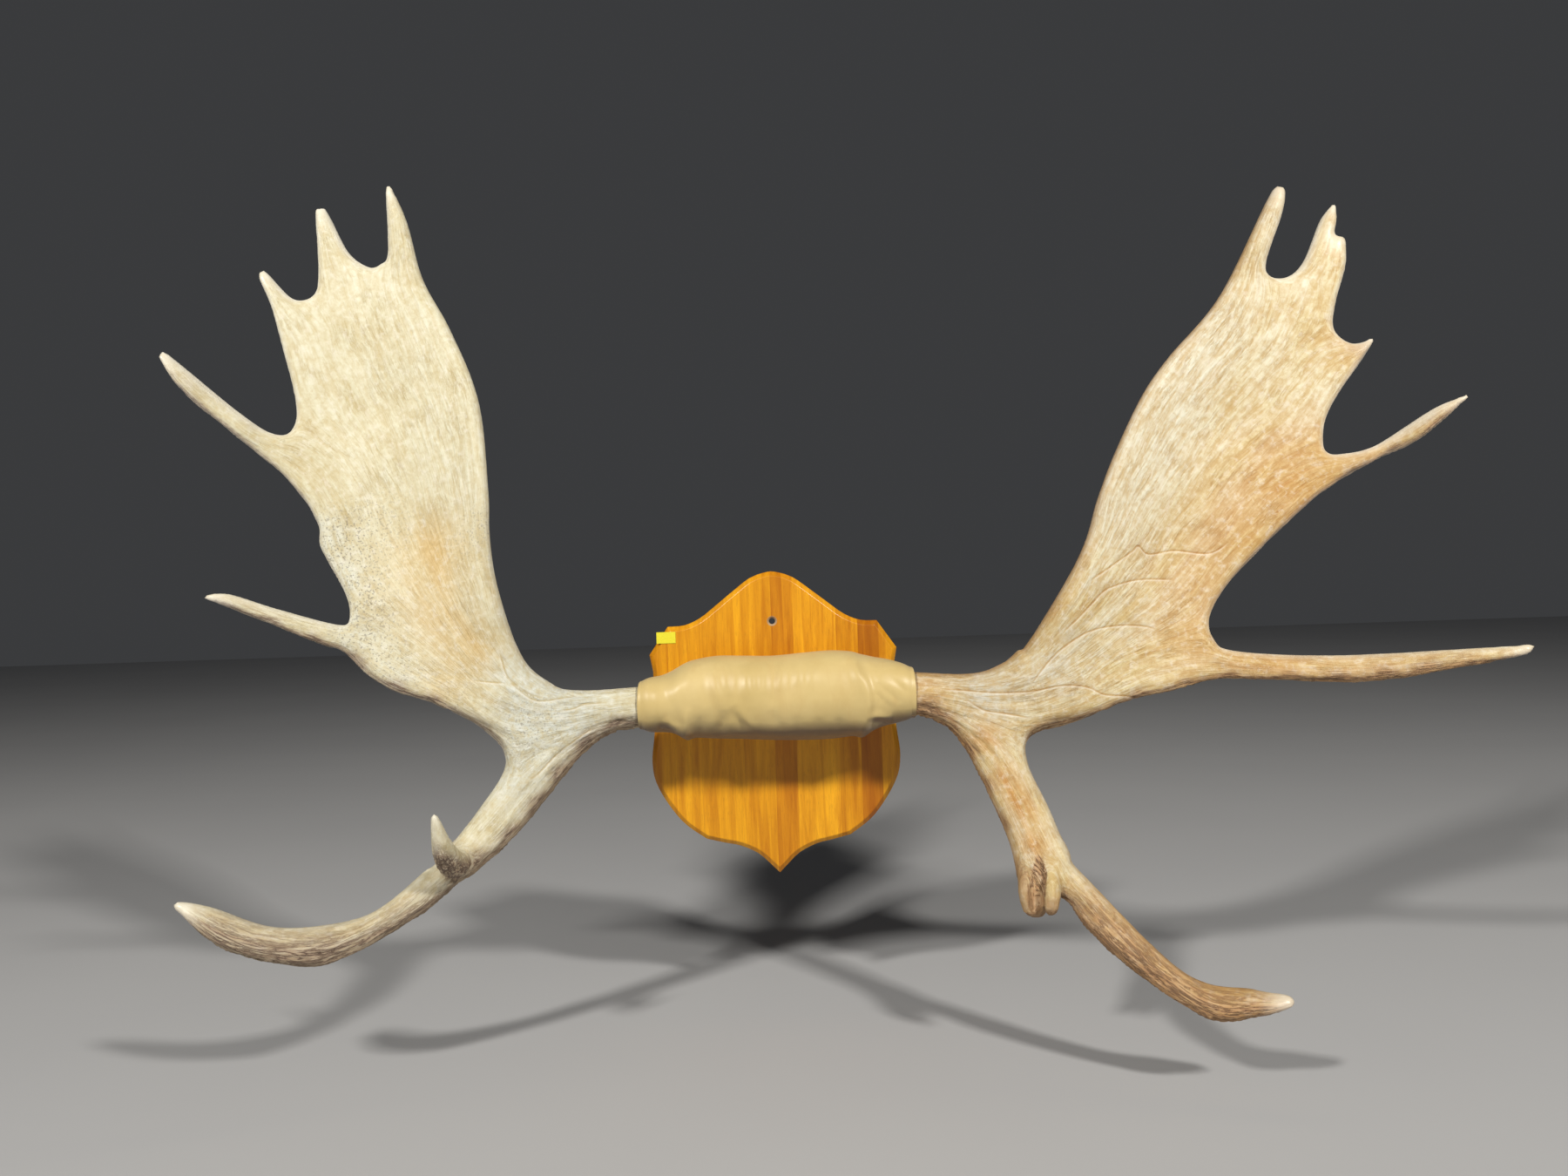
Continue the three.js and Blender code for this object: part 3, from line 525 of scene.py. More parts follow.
def cover_mesh(rings):
    """A closed skin over the rings."""
    bm = bmesh.new()
    rows = [[bm.verts.new(Vector(p) * MM) for p in ring] for ring in rings]
    for first, second in zip(rows, rows[1:]):
        for k in range(COVER_SIDES):
            following = (k + 1) % COVER_SIDES
            bm.faces.new((first[k], first[following], second[following], second[k]))
    bm.faces.new(rows[0][::-1])
    bm.faces.new(rows[-1])
    return finished_mesh(bm, "leather_cover_shape")


def folded(ring):
    """The cover's ring raised and pressed in where the folds cross it."""
    outward = ring - ring.mean(axis=0)
    outward[:, 0] = 0
    outward /= np.linalg.norm(outward, axis=1)[:, None]
    # the back lies flat on the board, so it has no folds
    front = np.clip(0.4 - outward[:, 1] * 1.5, 0, 1)
    raised = np.zeros(len(ring))
    for points, half_width, height in FOLDS:
        path = spline(points, 1.0)
        gaps = np.linalg.norm(ring[:, None, (0, 2)] - path[None], axis=2)
        closest = gaps.argmin(axis=1)
        ends = np.minimum(closest, len(path) - 1 - closest) / (FOLD_TAPER * len(path))
        across = gaps.min(axis=1) / (half_width * FOLD_WIDTH)
        raised += FOLD_HEIGHT * height * np.clip(ends, 0, 1) ** 0.7 * np.exp(-across ** 2)
    return ring + outward * (raised * front)[:, None]


left_rings = mouth_rings(*COVER_MOUTHS[0], COVER_SECTIONS[0])
middle_rings = [folded(rounded_section(*row)) for row in spline(COVER_SECTIONS, COVER_SPACING)]
right_rings = mouth_rings(*COVER_MOUTHS[1], COVER_SECTIONS[-1])
cover_shape = cover_mesh(left_rings + middle_rings + right_rings[::-1])


def times(tree, first, second):
    """One value times another."""
    return maths(tree, "MULTIPLY", first, second)


def centred(tree, value):
    """A noise's value, counted from its middle."""
    return maths(tree, "SUBTRACT", value, 0.5)


def leather_material():
    """Buckskin: cloudy tan with a fine grain, with painted shade where it faces down and along its lowest
    band.
    """
    material, tree, shader = new_material("buckskin")
    place = object_place(tree)
    cloud = noise(tree, place, 16, 4.0, 0.55)
    hide = noise(tree, stretched(tree, place, (1.0, 0.7, 0.35)), 45, 5.0, 0.6, 0.6)
    grain = add(tree, "ShaderNodeTexVoronoi", {"Vector": place, "Scale": 900.0, "Randomness": 1.0},
                feature="DISTANCE_TO_EDGE").outputs["Distance"]
    fine = noise(tree, place, 700, 3.0, 0.6)
    stops = {0.3: (0.57, 0.42, 0.16), 0.5: (0.62, 0.465, 0.19), 0.7: (0.67, 0.51, 0.22)}
    streaks = ranged(tree, hide, 0.5, 0.72, 0.0, 0.35)
    streaked = mixed(tree, streaks, colour_ramp(tree, cloud, stops), (0.56, 0.37, 0.13))
    level = maths(tree, "ADD", add(tree, "ShaderNodeSeparateXYZ", {0: place}).outputs[2],
                  times(tree, centred(tree, cloud), 0.012))
    normal = add(tree, "ShaderNodeTexCoord").outputs["Normal"]
    facing = add(tree, "ShaderNodeSeparateXYZ", {0: normal}).outputs[2]
    # painted shade: the leather is darkened where it faces down, and along its band lower than about 10 mm
    painted_underside_shade = maths(
        tree, "MAXIMUM", ranged(tree, facing, -0.5, -0.85), ranged(tree, level, 0.010, -0.002))
    with_painted_shade = mixed(tree, times(tree, painted_underside_shade, 0.9), streaked, (0.13, 0.07, 0.034))
    tree.links.new(with_painted_shade, shader.inputs["Base Color"])
    tree.links.new(ranged(tree, hide, 0.3, 0.7, 0.36, 0.48), shader.inputs["Roughness"])
    height = maths(tree, "ADD", times(tree, ranged(tree, grain, 0.0, 0.2), 0.5), fine)
    bumped(tree, shader, height, 0.00007, 0.5)
    shader.inputs["Sheen Weight"].default_value = 0.15
    shader.inputs["Sheen Roughness"].default_value = 0.5
    return material


PAD_FRAMES = 18
PAD_PRESSURE = 1.6
PAD_MOST_MOVE = 2.2 * MM          # the filler gives no more than this
TACKED_STRIP = 3.0                # the leather is held as far as this from the board


def padded_out(obj):
    """Lets the cover swell between its tacked back and its turned-in ends, as stuffed leather does."""
    start = np.array([v.co for v in obj.data.vertices])
    held = obj.vertex_groups.new(name="held")
    for vertex in obj.data.vertices:
        x, y = vertex.co.x / MM, vertex.co.y / MM
        if y > BOARD_FRONT - TACKED_STRIP or x < COVER_SECTIONS[0][0] or x > COVER_SECTIONS[-1][0]:
            held.add([vertex.index], 1.0, "REPLACE")
    cloth = obj.modifiers.new("padding", "CLOTH")
    cloth.settings.vertex_group_mass = "held"
    cloth.settings.quality = 6
    cloth.settings.mass = 0.4
    cloth.settings.use_pressure = True
    cloth.settings.uniform_pressure_force = PAD_PRESSURE
    cloth.settings.tension_stiffness = 25
    cloth.settings.compression_stiffness = 25
    cloth.settings.bending_stiffness = 2.0
    cloth.settings.effector_weights.gravity = 0
    for number in range(1, PAD_FRAMES + 1):
        bpy.context.scene.frame_set(number)
    as_plain_mesh(obj)
    bpy.context.scene.frame_set(1)
    end = np.array([v.co for v in obj.data.vertices])
    move = end - start
    length = np.linalg.norm(move, axis=1)[:, None]
    kept = start + move * np.minimum(1, PAD_MOST_MOVE / np.maximum(length, 1e-9))
    obj.data.vertices.foreach_set("co", kept.ravel())
    obj.data.update()


cover = put("buckskin_cover", cover_shape, leather_material())
padded_out(cover)
cover.data.shade_smooth()
rounding = cover.modifiers.new("rounding", "SUBSURF")
rounding.levels = rounding.render_levels = 1
as_plain_mesh(cover)
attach(cover, "root")
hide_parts("leather_cover")

# ---- Antlers ------------------------------------------------------------------------------------
# Each antler grew in one piece: a round beam that forks into a broad thin palm with five tines and
# a brow branch with a short side tine. Furrows left by blood vessels run along it from the beam
# out into every tine. Its burr is hidden inside the leather, so its skin ends there.

LEFT = {
    "side": -1,
    # Outline as seen by the viewer: edges from tip to tip, each a smooth curve through (x, z). The
    # list runs from the beam up the palm, round its tines and back along the brow branch.
    "edges": [
        # inner edge of the palm, up to the first tine
        [(-40, 52), (-70, 53), (-100, 52), (-137, 49), (-206, 49), (-232, 59), (-257, 86), (-278, 153),
         (-286, 207), (-287, 261), (-297, 353), (-328, 430), (-360, 490), (-378, 551), (-390, 581),
         (-399, 596)],
        [(-399, 596), (-403, 592), (-399, 522), (-406, 509), (-419, 506), (-441, 523), (-461, 562),
         (-468, 572)],
        [(-474, 572), (-476, 566), (-471, 498), (-475, 474), (-494, 470), (-518, 496), (-523, 498)],
        [(-523, 498), (-526, 492), (-510, 451), (-488, 360), (-491, 327), (-509, 325), (-537, 347),
         (-585, 395), (-595, 401)],
        [(-597, 397), (-571, 355), (-492, 276), (-463, 231), (-458, 203), (-435, 158), (-429, 133),
         (-438, 125), (-490, 143), (-531, 160), (-549, 157)],
        # round the fork and along the top of the brow branch
        [(-549, 157), (-459, 109), (-432, 97), (-408, 73), (-383, 56), (-345, 41), (-293, 11), (-275, -22),
         (-299, -64), (-339, -114), (-345, -117), (-397, -153), (-469, -155), (-528, -131), (-551, -124),
         (-556, -126)],
        # underside of the brow branch and beam
        [(-556, -126), (-554, -131), (-510, -169), (-448, -190), (-409, -187), (-355, -162), (-313, -131),
         (-266, -95), (-190, -9), (-138, 7), (-100, 3), (-70, 3), (-40, 4)],
    ],
    # How the furrows share the width of the beam: one number for each edge.
    "flow": [0, 1, 1.8, 2.5, 3.6, 4.8, 7.6],
    # Rims: 1 where an edge is worn pale, down to -1 where it is stained brown, one number for each edge.
    "rims": [0.3, 1, 1, 1, 0.7, 0.3, -0.9],
    # Form: (x, z, y of the middle surface, half thickness).
    "form": [
        (-92, 28, -76, 21), (-140, 28, -82, 21), (-207, 22, -95, 21), (-255, 0, -107, 20),
        (-275, 135, -112, 13), (-355, 102, -105, 11), (-287, 243, -107, 9), (-385, 211, -88, 9),
        (-439, 230, -98, 9), (-305, 353, -93, 9), (-404, 351, -72, 9), (-468, 342, -85, 9),
        (-365, 461, -68, 9), (-440, 474, -62, 9), (-399, 596, -41, 8), (-471, 572, -50, 8),
        (-523, 498, -79, 8), (-516, 330, -110, 9), (-597, 397, -154, 9), (-429, 109, -123, 11),
        (-549, 157, -177, 9), (-283, -71, -131, 15), (-336, -131, -163, 14), (-401, -172, -196, 14),
        (-474, -169, -222, 13), (-557, -125, -233, 11),
    ],
    # Side tines towards the viewer: points (x, y, z) along the middle, and radii.
    "side_tines": [
        {"path": [(-311, -146, -110), (-313, -184, -107), (-313, -215, -86), (-316, -228, -54)],
         "radii": [13, 13.5, 10.5, 3], "polished": (-316, -230, -42)},
    ],
    "hollows": [],
    # Furrows of the blood vessels on the front, as (x, z).
    "vessels": [
        [(-267, 62), (-254, 50), (-244, 43), (-232, 41), (-216, 43), (-199, 45)],
        [(-277, 94), (-270, 69), (-260, 58), (-246, 48), (-233, 44)],
        [(-306, 65), (-293, 63), (-276, 61), (-268, 60)],
        [(-181, 12), (-194, 6), (-210, -5), (-223, -15), (-238, -30), (-249, -38)],
        [(-222, 30), (-205, 32), (-193, 36), (-171, 36)],
    ],
    # Patches: (x, z, radius, strength). Pallors are bleached, stains are tan-coloured, greys are
    # weathered, speckles are full of dark pores, and the brown places are rough and dark, partly real brown
    # and partly painted shade along undersides and lower edges.
    "pallors": [
        (-352, 119, 42, 0.9), (-330, 150, 40, 0.5), (-300, 250, 45, 0.7), (-330, 330, 70, 0.4),
        (-395, 480, 60, 0.1),
    ],
    "stains": [
        (-346, 205, 34, 0.8), (-330, 172, 30, 0.35), (-318, 112, 34, 0.55), (-296, 92, 24, 0.6),
        (-332, 62, 26, 0.45), (-362, 150, 40, 0.3), (-345, 130, 26, 0.3),
    ],
    "greys": [
        (-245, 20, 42, 0.9), (-200, 30, 40, 0.8), (-262, 75, 26, 0.6), (-270, 130, 16, 0.45),
        (-276, 190, 14, 0.4), (-452, 215, 26, 0.6), (-436, 170, 24, 0.6), (-420, 120, 28, 0.55),
        (-385, 66, 24, 0.5), (-265, -40, 34, 0.6), (-250, 40, 20, 0.5),
    ],
    "speckles": [
        (-445, 215, 30, 1.0), (-425, 170, 34, 1.0), (-415, 120, 34, 1.0), (-385, 75, 30, 0.8),
        (-400, 230, 40, 0.55), (-245, 15, 36, 0.9), (-285, 225, 26, 0.6), (-335, 40, 30, 0.5),
        (-310, 200, 30, 0.4),
    ],
    "browned_and_shaded": [
        (-455, -192, 50, 0.9), (-510, -168, 36, 0.8), (-400, -190, 40, 0.6), (-350, -158, 34, 0.5),
        (-320, -104, 14, 0.8), (-296, -112, 14, 0.7), (-531, -150, 24, 0.4), (-160, 7, 11, 0.8),
        (-190, -7, 12, 0.8), (-216, -34, 12, 0.8), (-240, -64, 12, 0.8), (-264, -92, 12, 0.8),
        (-495, 128, 10, 0.7), (-459, 109, 10, 0.8), (-420, 84, 11, 0.9), (-383, 57, 11, 0.9),
        (-345, 42, 11, 0.7), (-525, 152, 40, 0.3), (-575, 380, 40, 0.25),
    ],
    # under is the colour of painted shade on undersides, in dark cracks and in hollows; tan, for the brown
    # places, is partly painted shade
    "colours": {
        "deep": (0.57, 0.455, 0.235), "main": (0.68, 0.63, 0.43), "light": (0.785, 0.76, 0.59),
        "stain": (0.71, 0.53, 0.25), "grey": (0.66, 0.69, 0.63), "pale": (0.84, 0.80, 0.70),
        "rim": (0.36, 0.26, 0.16), "fibre": (0.80, 0.69, 0.50), "fleck": (0.27, 0.23, 0.18),
        "tan": (0.36, 0.25, 0.17), "under": (0.11, 0.065, 0.045),
    },
    "streak_contrast": 0.75,
}

# The right antler, given in the same way as the left.
RIGHT = {
    "side": 1,
    "edges": [
        [(40, 56), (70, 57), (100, 57), (146, 55), (206, 53), (237, 63), (254, 77), (263, 84), (319, 173),
         (340, 229), (362, 278), (393, 335), (425, 376), (487, 443), (551, 551), (564, 565)],
        [(569, 565), (571, 559), (565, 535), (542, 481), (544, 464), (563, 463), (582, 480), (605, 526),
         (620, 541)],
        [(620, 541), (621, 527), (617, 511), (618, 506), (624, 503)],
        [(624, 503), (626, 498), (623, 472), (609, 431), (604, 403), (618, 386), (638, 388)],
        [(638, 388), (634, 379), (601, 334), (585, 307), (580, 286), (581, 272), (593, 268), (627, 275),
         (677, 309), (701, 317)],
        [(701, 317), (663, 278), (626, 260), (584, 235), (557, 216), (487, 153), (453, 109), (452, 82),
         (473, 69), (569, 63), (726, 69), (736, 68)],
        [(736, 68), (733, 62), (706, 55), (611, 39), (548, 38), (452, 41), (400, 31), (364, 24), (310, 5),
         (262, -9), (255, -36), (271, -81), (283, -120), (291, -134), (368, -214), (423, -224), (447, -226),
         (452, -230)],
        [(452, -230), (449, -235), (422, -244), (380, -248), (324, -215), (288, -180), (276, -161),
         (261, -154), (245, -153), (237, -145), (223, -90), (189, -13), (156, 9), (144, 10), (100, 5),
         (70, 5), (40, 6)],
    ],
    "flow": [0, 1, 1.4, 1.6, 2.4, 3.4, 4.8, 7.6],
    "rims": [-0.9, 1, 1, 1, 1, 0.6, -0.4, -0.8],
    "form": [
        (92, 31, -76, 21), (146, 32, -82, 21), (209, 24, -97, 21), (257, 28, -110, 20),
        (294, 117, -115, 13), (372, 78, -107, 11), (340, 214, -107, 9), (417, 185, -88, 9),
        (485, 182, -98, 9), (402, 331, -91, 9), (481, 304, -72, 9), (557, 290, -87, 9), (496, 434, -68, 9),
        (572, 441, -64, 9), (567, 565, -41, 8), (620, 541, -49, 8), (639, 388, -86, 8), (642, 275, -115, 9),
        (701, 317, -149, 9), (454, 54, -123, 11), (581, 49, -150, 10), (736, 67, -179, 9),
        (247, -73, -141, 15), (278, -142, -182, 15), (325, -196, -225, 14), (392, -235, -262, 13),
        (452, -230, -281, 10),
    ],
    "side_tines": [
        {"path": [(268, -165, -123), (260, -200, -143), (256, -211, -161)], "radii": [13, 9.5, 7]},
        {"path": [(248, -161, -124), (236, -190, -146), (238, -198, -164)], "radii": [10, 7, 6]},
        {"path": [(257, -162, -125), (250, -184, -148), (247, -191, -166)], "radii": [14, 11, 8.5]},
    ],
    # Worn hollows, given as side tines are.
    "hollows": [
        {"path": [(251, -184, -116), (247, -198, -138), (244, -204, -154), (243, -208, -163)],
         "radii": [1.5, 6, 7.5, 6]},
    ],
    "vessels": [
        [(171, 39), (193, 38), (228, 35), (260, 36), (291, 41), (316, 39), (333, 31), (356, 28), (368, 25)],
        [(260, 42), (282, 68), (308, 87), (330, 96), (358, 99), (383, 97), (394, 93)],
        [(325, 145), (350, 160), (373, 174), (381, 180), (392, 171), (420, 174), (454, 170), (474, 181)],
        [(296, 95), (310, 107), (328, 124), (345, 137), (379, 145), (417, 144)],
        [(197, 29), (213, 18), (235, 14), (260, 9)],
    ],
    "pallors": [
        (369, 240, 60, 0.8), (411, 312, 70, 0.9), (345, 185, 50, 0.5), (450, 380, 60, 0.6),
        (500, 430, 60, 0.5), (545, 530, 40, 0.8), (554, 346, 40, 0.4), (427, 60, 50, 0.2),
        (216, 20, 30, 0.4), (430, 440, 70, 0.4), (250, -20, 16, 0.6), (262, -52, 16, 0.7),
        (277, -96, 18, 0.8), (290, -128, 16, 0.7), (306, -150, 14, 0.5),
    ],
    "stains": [
        (456, 138, 60, 0.5), (414, 76, 40, 0.4), (547, 262, 50, 0.6), (610, 262, 40, 0.6),
        (625, 379, 30, 0.5), (494, 53, 50, 0.6), (580, 49, 60, 0.5), (250, -108, 14, 1.0),
        (246, -80, 12, 0.8), (157, 33, 26, 0.6), (214, -12, 16, 0.6), (228, -48, 14, 0.9),
        (238, -66, 12, 0.9), (300, -180, 30, 0.5), (345, -212, 40, 0.6), (400, -235, 40, 0.5),
        (285, 118, 12, 0.5), (310, 175, 12, 0.4), (487, 200, 50, 0.45), (215, 0, 20, 0.35),
        (541, 225, 40, 0.5), (430, 400, 20, 0.2),
    ],
    "greys": [
        (279, 63, 22, 0.7), (300, 95, 16, 0.6), (240, 42, 26, 0.6), (205, 34, 24, 0.6), (330, 140, 16, 0.4),
        (222, 18, 26, 0.4), (300, 42, 26, 0.4),
    ],
    "speckles": [(330, 60, 60, 0.15), (430, 90, 60, 0.15)],
    # brown places: partly real brown, partly painted shade along undersides and lower edges
    "browned_and_shaded": [
        (292, -160, 24, 0.5), (315, -190, 34, 0.65), (350, -222, 40, 0.75), (390, -242, 44, 0.9),
        (430, -243, 30, 0.5), (262, -165, 16, 0.3), (158, 14, 18, 0.8), (178, 0, 11, 0.8),
        (196, -24, 11, 0.9), (209, -58, 10, 0.9), (222, -92, 10, 0.8), (234, -135, 10, 0.8),
        (676, 48, 11, 0.9), (640, 43, 12, 0.9), (600, 39, 12, 0.9), (560, 38, 11, 0.9), (515, 40, 11, 0.8),
        (460, 41, 10, 0.8), (415, 34, 10, 0.8), (370, 25, 10, 0.8), (672, 286, 7, 0.5), (640, 266, 8, 0.6),
        (602, 244, 8, 0.5), (650, 54, 60, 0.35), (672, 297, 40, 0.35), (628, 384, 20, 0.3),
    ],
    # under is the colour of painted shade on undersides, in dark cracks and in hollows; tan, for the brown
    # places, is partly painted shade
    "colours": {
        "deep": (0.56, 0.395, 0.155), "main": (0.70, 0.585, 0.30), "light": (0.80, 0.77, 0.61),
        "stain": (0.62, 0.355, 0.10), "grey": (0.60, 0.58, 0.49), "pale": (0.84, 0.78, 0.66),
        "rim": (0.36, 0.20, 0.085), "fibre": (0.74, 0.56, 0.34), "fleck": (0.24, 0.16, 0.09),
        "tan": (0.42, 0.225, 0.10), "under": (0.10, 0.05, 0.024),
    },
    "streak_contrast": 1.0,
}

PLAN_STEP = 1.25                  # spacing of the plan grid
VOXEL = 2.5                       # spacing of the solid grid
MARGIN = 12.0                     # room round the outline
OUTLINE_STEP = 1.5
SHEET_SLACK = 400                 # how far the middle surface may ease off its points
FORM_SOFTNESS = 30                # distance over which thicknesses blend
ROUNDNESS = 0.95                  # thickness of a tine against its width
RIM_ROUNDING = 1.4                # how far in the rim's rounding reaches, in half thicknesses
BURR_X = 92.0                     # where the skin ends inside the leather
WELD = 11.0                       # softness of the join between a side tine and its branch
TIP_WELD = 2.5                    # the same for a tip's cone and for the rim of a hollow
TIP_LENGTH = 9.0                  # length of the round cone at a tine's end
TIP_RADII = (2.4, 2.5)            # its radius at the point, and the least at its foot
HORN_STEP = 1.5                   # spacing along the middle of a side tine
WIDEST = 30.0                     # half widths beyond this no longer change the thickness
EASING_ROUNDS = 220               # how often the furrow numbers are evened out between the edges
VESSEL_REACH = 6.0                # how far from a vessel's furrow its banks reach
VESSEL_TAPER = 14.0               # length over which its ends die out
GRAIN_WANDER = 0.16               # how far the grain wanders, in steps of the flow numbers
SIDE_TINE_FADE = 22.0             # height over which a side tine's own furrows take over
SIDE_TINE_FLOW = 1.4              # flow numbers from its front round to its back
POLISH_REACH = 26.0               # how far from a tip it is rubbed smooth
RIM_REACH = 5.0                   # how far in from the outline its rim is worn smoother
RIM_TONE_REACH = 3.5              # the same for the rim's colour


def traced(edges):
    """Points round the outline and, for each, the number of its edge."""
    curves = [spline(edge, OUTLINE_STEP)[:-1] for edge in edges]
    return np.vstack(curves), np.concatenate([np.full(len(c), k) for k, c in enumerate(curves)])


def nearest_points(outline, grid_x, grid_z):
    """Number of the outline's point that lies nearest to each place."""
    tree = KDTree(len(outline))
    for k, (x, z) in enumerate(outline):
        tree.insert((x, z, 0), k)
    tree.balance()
    found = [tree.find((x, z, 0))[1] for x, z in zip(grid_x.ravel(), grid_z.ravel())]
    return np.array(found).reshape(grid_x.shape)


def is_inside(outline, xs, zs):
    """True inside the outline: each of its sides flips all that lies to the right of it."""
    inside = np.zeros((len(xs), len(zs)), bool)
    for (ax, az), (bx, bz) in zip(outline, np.roll(outline, -1, axis=0)):
        for row in np.flatnonzero((az > zs) != (bz > zs)):
            inside[xs > ax + (zs[row] - az) / (bz - az) * (bx - ax), row] ^= True
    return inside


def depth_inside(outline, nearest, grid_x, grid_z, inside):
    """Distance to the outline, more than 0 inside it and less outside."""
    closest = np.full(grid_x.shape, np.inf)
    for step in (-1, 0):
        start = outline[(nearest + step) % len(outline)]
        along = outline[(nearest + step + 1) % len(outline)] - start
        offset = np.stack([grid_x, grid_z], -1) - start
        share = np.clip((offset * along).sum(-1) / np.maximum((along ** 2).sum(-1), 1e-9), 0, 1)
        closest = np.minimum(closest, np.linalg.norm(offset - along * share[..., None], axis=-1))
    return np.where(inside, closest, -closest)


def convolved(field, kernel_transform):
    """The field smeared by a kernel, which is given by its Fourier transform."""
    return np.fft.irfft2(np.fft.rfft2(field) * kernel_transform, field.shape)


def half_width(depth, inside):
    """Radius of the largest disc inside the outline that covers each place, up to the most that matters."""
    rows, columns = [np.minimum(np.arange(n), n - np.arange(n)) * PLAN_STEP for n in depth.shape]
    reach = np.hypot(*np.meshgrid(rows, columns, indexing="ij"))
    width = np.clip(depth, 0.6, None)
    for radius in np.arange(1.0, WIDEST, 0.75):
        disc = np.fft.rfft2(reach < radius)
        covered = convolved((depth >= radius).astype(float), disc) > 0.5
        width[covered] = np.maximum(width[covered], radius)
    blur = np.fft.rfft2(np.exp(-(reach / 5.0) ** 2))
    weight = convolved(inside.astype(float), blur)
    return np.where(weight > 0.5, convolved(width * inside, blur) / np.maximum(weight, 0.5), 4.0)


def bend(r):
    """How a thin sheet gives at a distance r from where it is pulled."""
    return r * r * np.log(np.maximum(r, 1e-9))


def middle_surface(form):
    """y of the middle surface at (x, z): a thin sheet bent through the form's points."""
    points = np.array([(x, z) for x, z, _, _ in form], float)
    levels = np.array([y for _, _, y, _ in form], float)
    count = len(points)
    pulls = bend(np.linalg.norm(points[:, None] - points[None], axis=2)) + SHEET_SLACK * np.eye(count)
    flat = np.c_[np.ones(count), points]
    system = np.block([[pulls, flat], [flat.T, np.zeros((3, 3))]])
    weights = np.linalg.solve(system, np.r_[levels, 0, 0, 0])

    def surface(x, z):
        y = weights[count] + weights[count + 1] * x + weights[count + 2] * z
        for (px, pz), weight in zip(points, weights):
            y = y + weight * bend(np.hypot(x - px, z - pz))
        return y
    return surface


def half_thickness(form, x, z):
    """Half the thickness at (x, z), blended between the form's points."""
    total = half = 0
    for px, pz, _, thickness in form:
        weight = 1 / ((px - x) ** 2 + (pz - z) ** 2 + FORM_SOFTNESS ** 2) ** 2
        total, half = total + weight, half + weight * thickness
    return half / total


def furrow_lines(flow, edge_numbers, nearest, inside):
    """A value that is the same all along each furrow: it runs evenly between the outline's edges."""
    fixed = np.array(flow, float)[edge_numbers[nearest]]
    values = fixed[::16, ::16]
    for stride in (16, 8, 4, 2):
        level_fixed, free = fixed[::stride, ::stride], inside[::stride, ::stride]
        if stride < 16:
            values = values.repeat(2, 0).repeat(2, 1)[:free.shape[0], :free.shape[1]]
        values = np.where(free, values, level_fixed)
        for _ in range(EASING_ROUNDS):
            values[1:-1, 1:-1] = np.where(
                free[1:-1, 1:-1],
                (values[:-2, 1:-1] + values[2:, 1:-1] + values[1:-1, :-2] + values[1:-1, 2:]) / 4,
                values[1:-1, 1:-1])
    return values


def sampled(grid, step, low, x, z):
    """Value of a plan grid at places between its points."""
    i, k = (x - low[0]) / step, (z - low[1]) / step
    i0 = np.clip(i.astype(int), 0, grid.shape[0] - 2)
    k0 = np.clip(k.astype(int), 0, grid.shape[1] - 2)
    s, t = i - i0, k - k0
    return ((grid[i0, k0] * (1 - s) + grid[i0 + 1, k0] * s) * (1 - t)
            + (grid[i0, k0 + 1] * (1 - s) + grid[i0 + 1, k0 + 1] * s) * t)


def plan_of(antler):
    """Grids over the antler's plan: depth inside the outline, middle surface, thickness and furrows."""
    outline, edge_numbers = traced(antler["edges"])
    low = outline.min(axis=0) - MARGIN
    xs, zs = [np.arange(low[k], outline[:, k].max() + MARGIN, PLAN_STEP) for k in (0, 1)]
    grid_x, grid_z = np.meshgrid(xs, zs, indexing="ij")
    nearest = nearest_points(outline, grid_x, grid_z)
    inside = is_inside(outline, xs, zs)
    depth = depth_inside(outline, nearest, grid_x, grid_z, inside)
    width = half_width(depth, inside)
    middle = middle_surface(antler["form"])(grid_x, grid_z)
    slope_x, slope_z = np.gradient(middle, PLAN_STEP)
    half = half_thickness(antler["form"], grid_x, grid_z)
    furrows = furrow_lines(antler["flow"], edge_numbers, nearest, inside)
    crowding = np.hypot(*np.gradient(furrows, 2 * PLAN_STEP))
    return {
        "low": low, "x": grid_x, "z": grid_z, "depth": depth, "middle": middle,
        "lean": np.sqrt(1 + slope_x ** 2 + slope_z ** 2),
        "half": np.minimum(half, ROUNDNESS * width), "rounding": np.minimum(width, half * RIM_ROUNDING),
        "furrows": furrows, "pitch": 1 / np.maximum(crowding, 0.01),
        "rim_tone": np.array(antler["rims"], float)[edge_numbers[nearest]],
        "tips": [edge[-1] for edge in antler["edges"][:-1]],
    }


def horn_distance(points, horn):
    """Distance outside a tapered horn, how far along it is nearest, and the angle round it."""
    path = spline(horn["path"], HORN_STEP)
    share = np.linspace(0, 1, len(path))
    radii = np.interp(share, np.linspace(0, 1, len(horn["radii"])), horn["radii"])
    gaps = np.linalg.norm(points[:, None] - path[None], axis=2) - radii
    nearest = gaps.argmin(axis=1)
    around = points - path[nearest]
    return gaps.min(axis=1), nearest * HORN_STEP, np.arctan2(around[:, 0], -around[:, 2])


def tip_horns(plan):
    """A small round cone for the end of each tine."""
    horns = []
    for tip in plan["tips"]:
        close = np.hypot(plan["x"] - tip[0], plan["z"] - tip[1]) < TIP_LENGTH
        place = np.unravel_index(np.where(close, plan["depth"], -99).argmax(), close.shape)
        inner = np.array([plan[key][place] for key in ("x", "middle", "z")])
        end = np.array([tip[0], inner[1], tip[1]])
        radii = [TIP_RADII[0], max(TIP_RADII[1], ROUNDNESS * plan["depth"][place])]
        horns.append({"path": [end * 0.8 + inner * 0.2, inner], "radii": radii})
    return horns


def welded(first, second, softness):
    """Distance field of two bodies joined, with the corner between them filled softly."""
    blend = np.clip(1 - np.abs(first - second) / softness, 0, 1)
    return np.minimum(first, second) - blend ** 2 * softness / 4


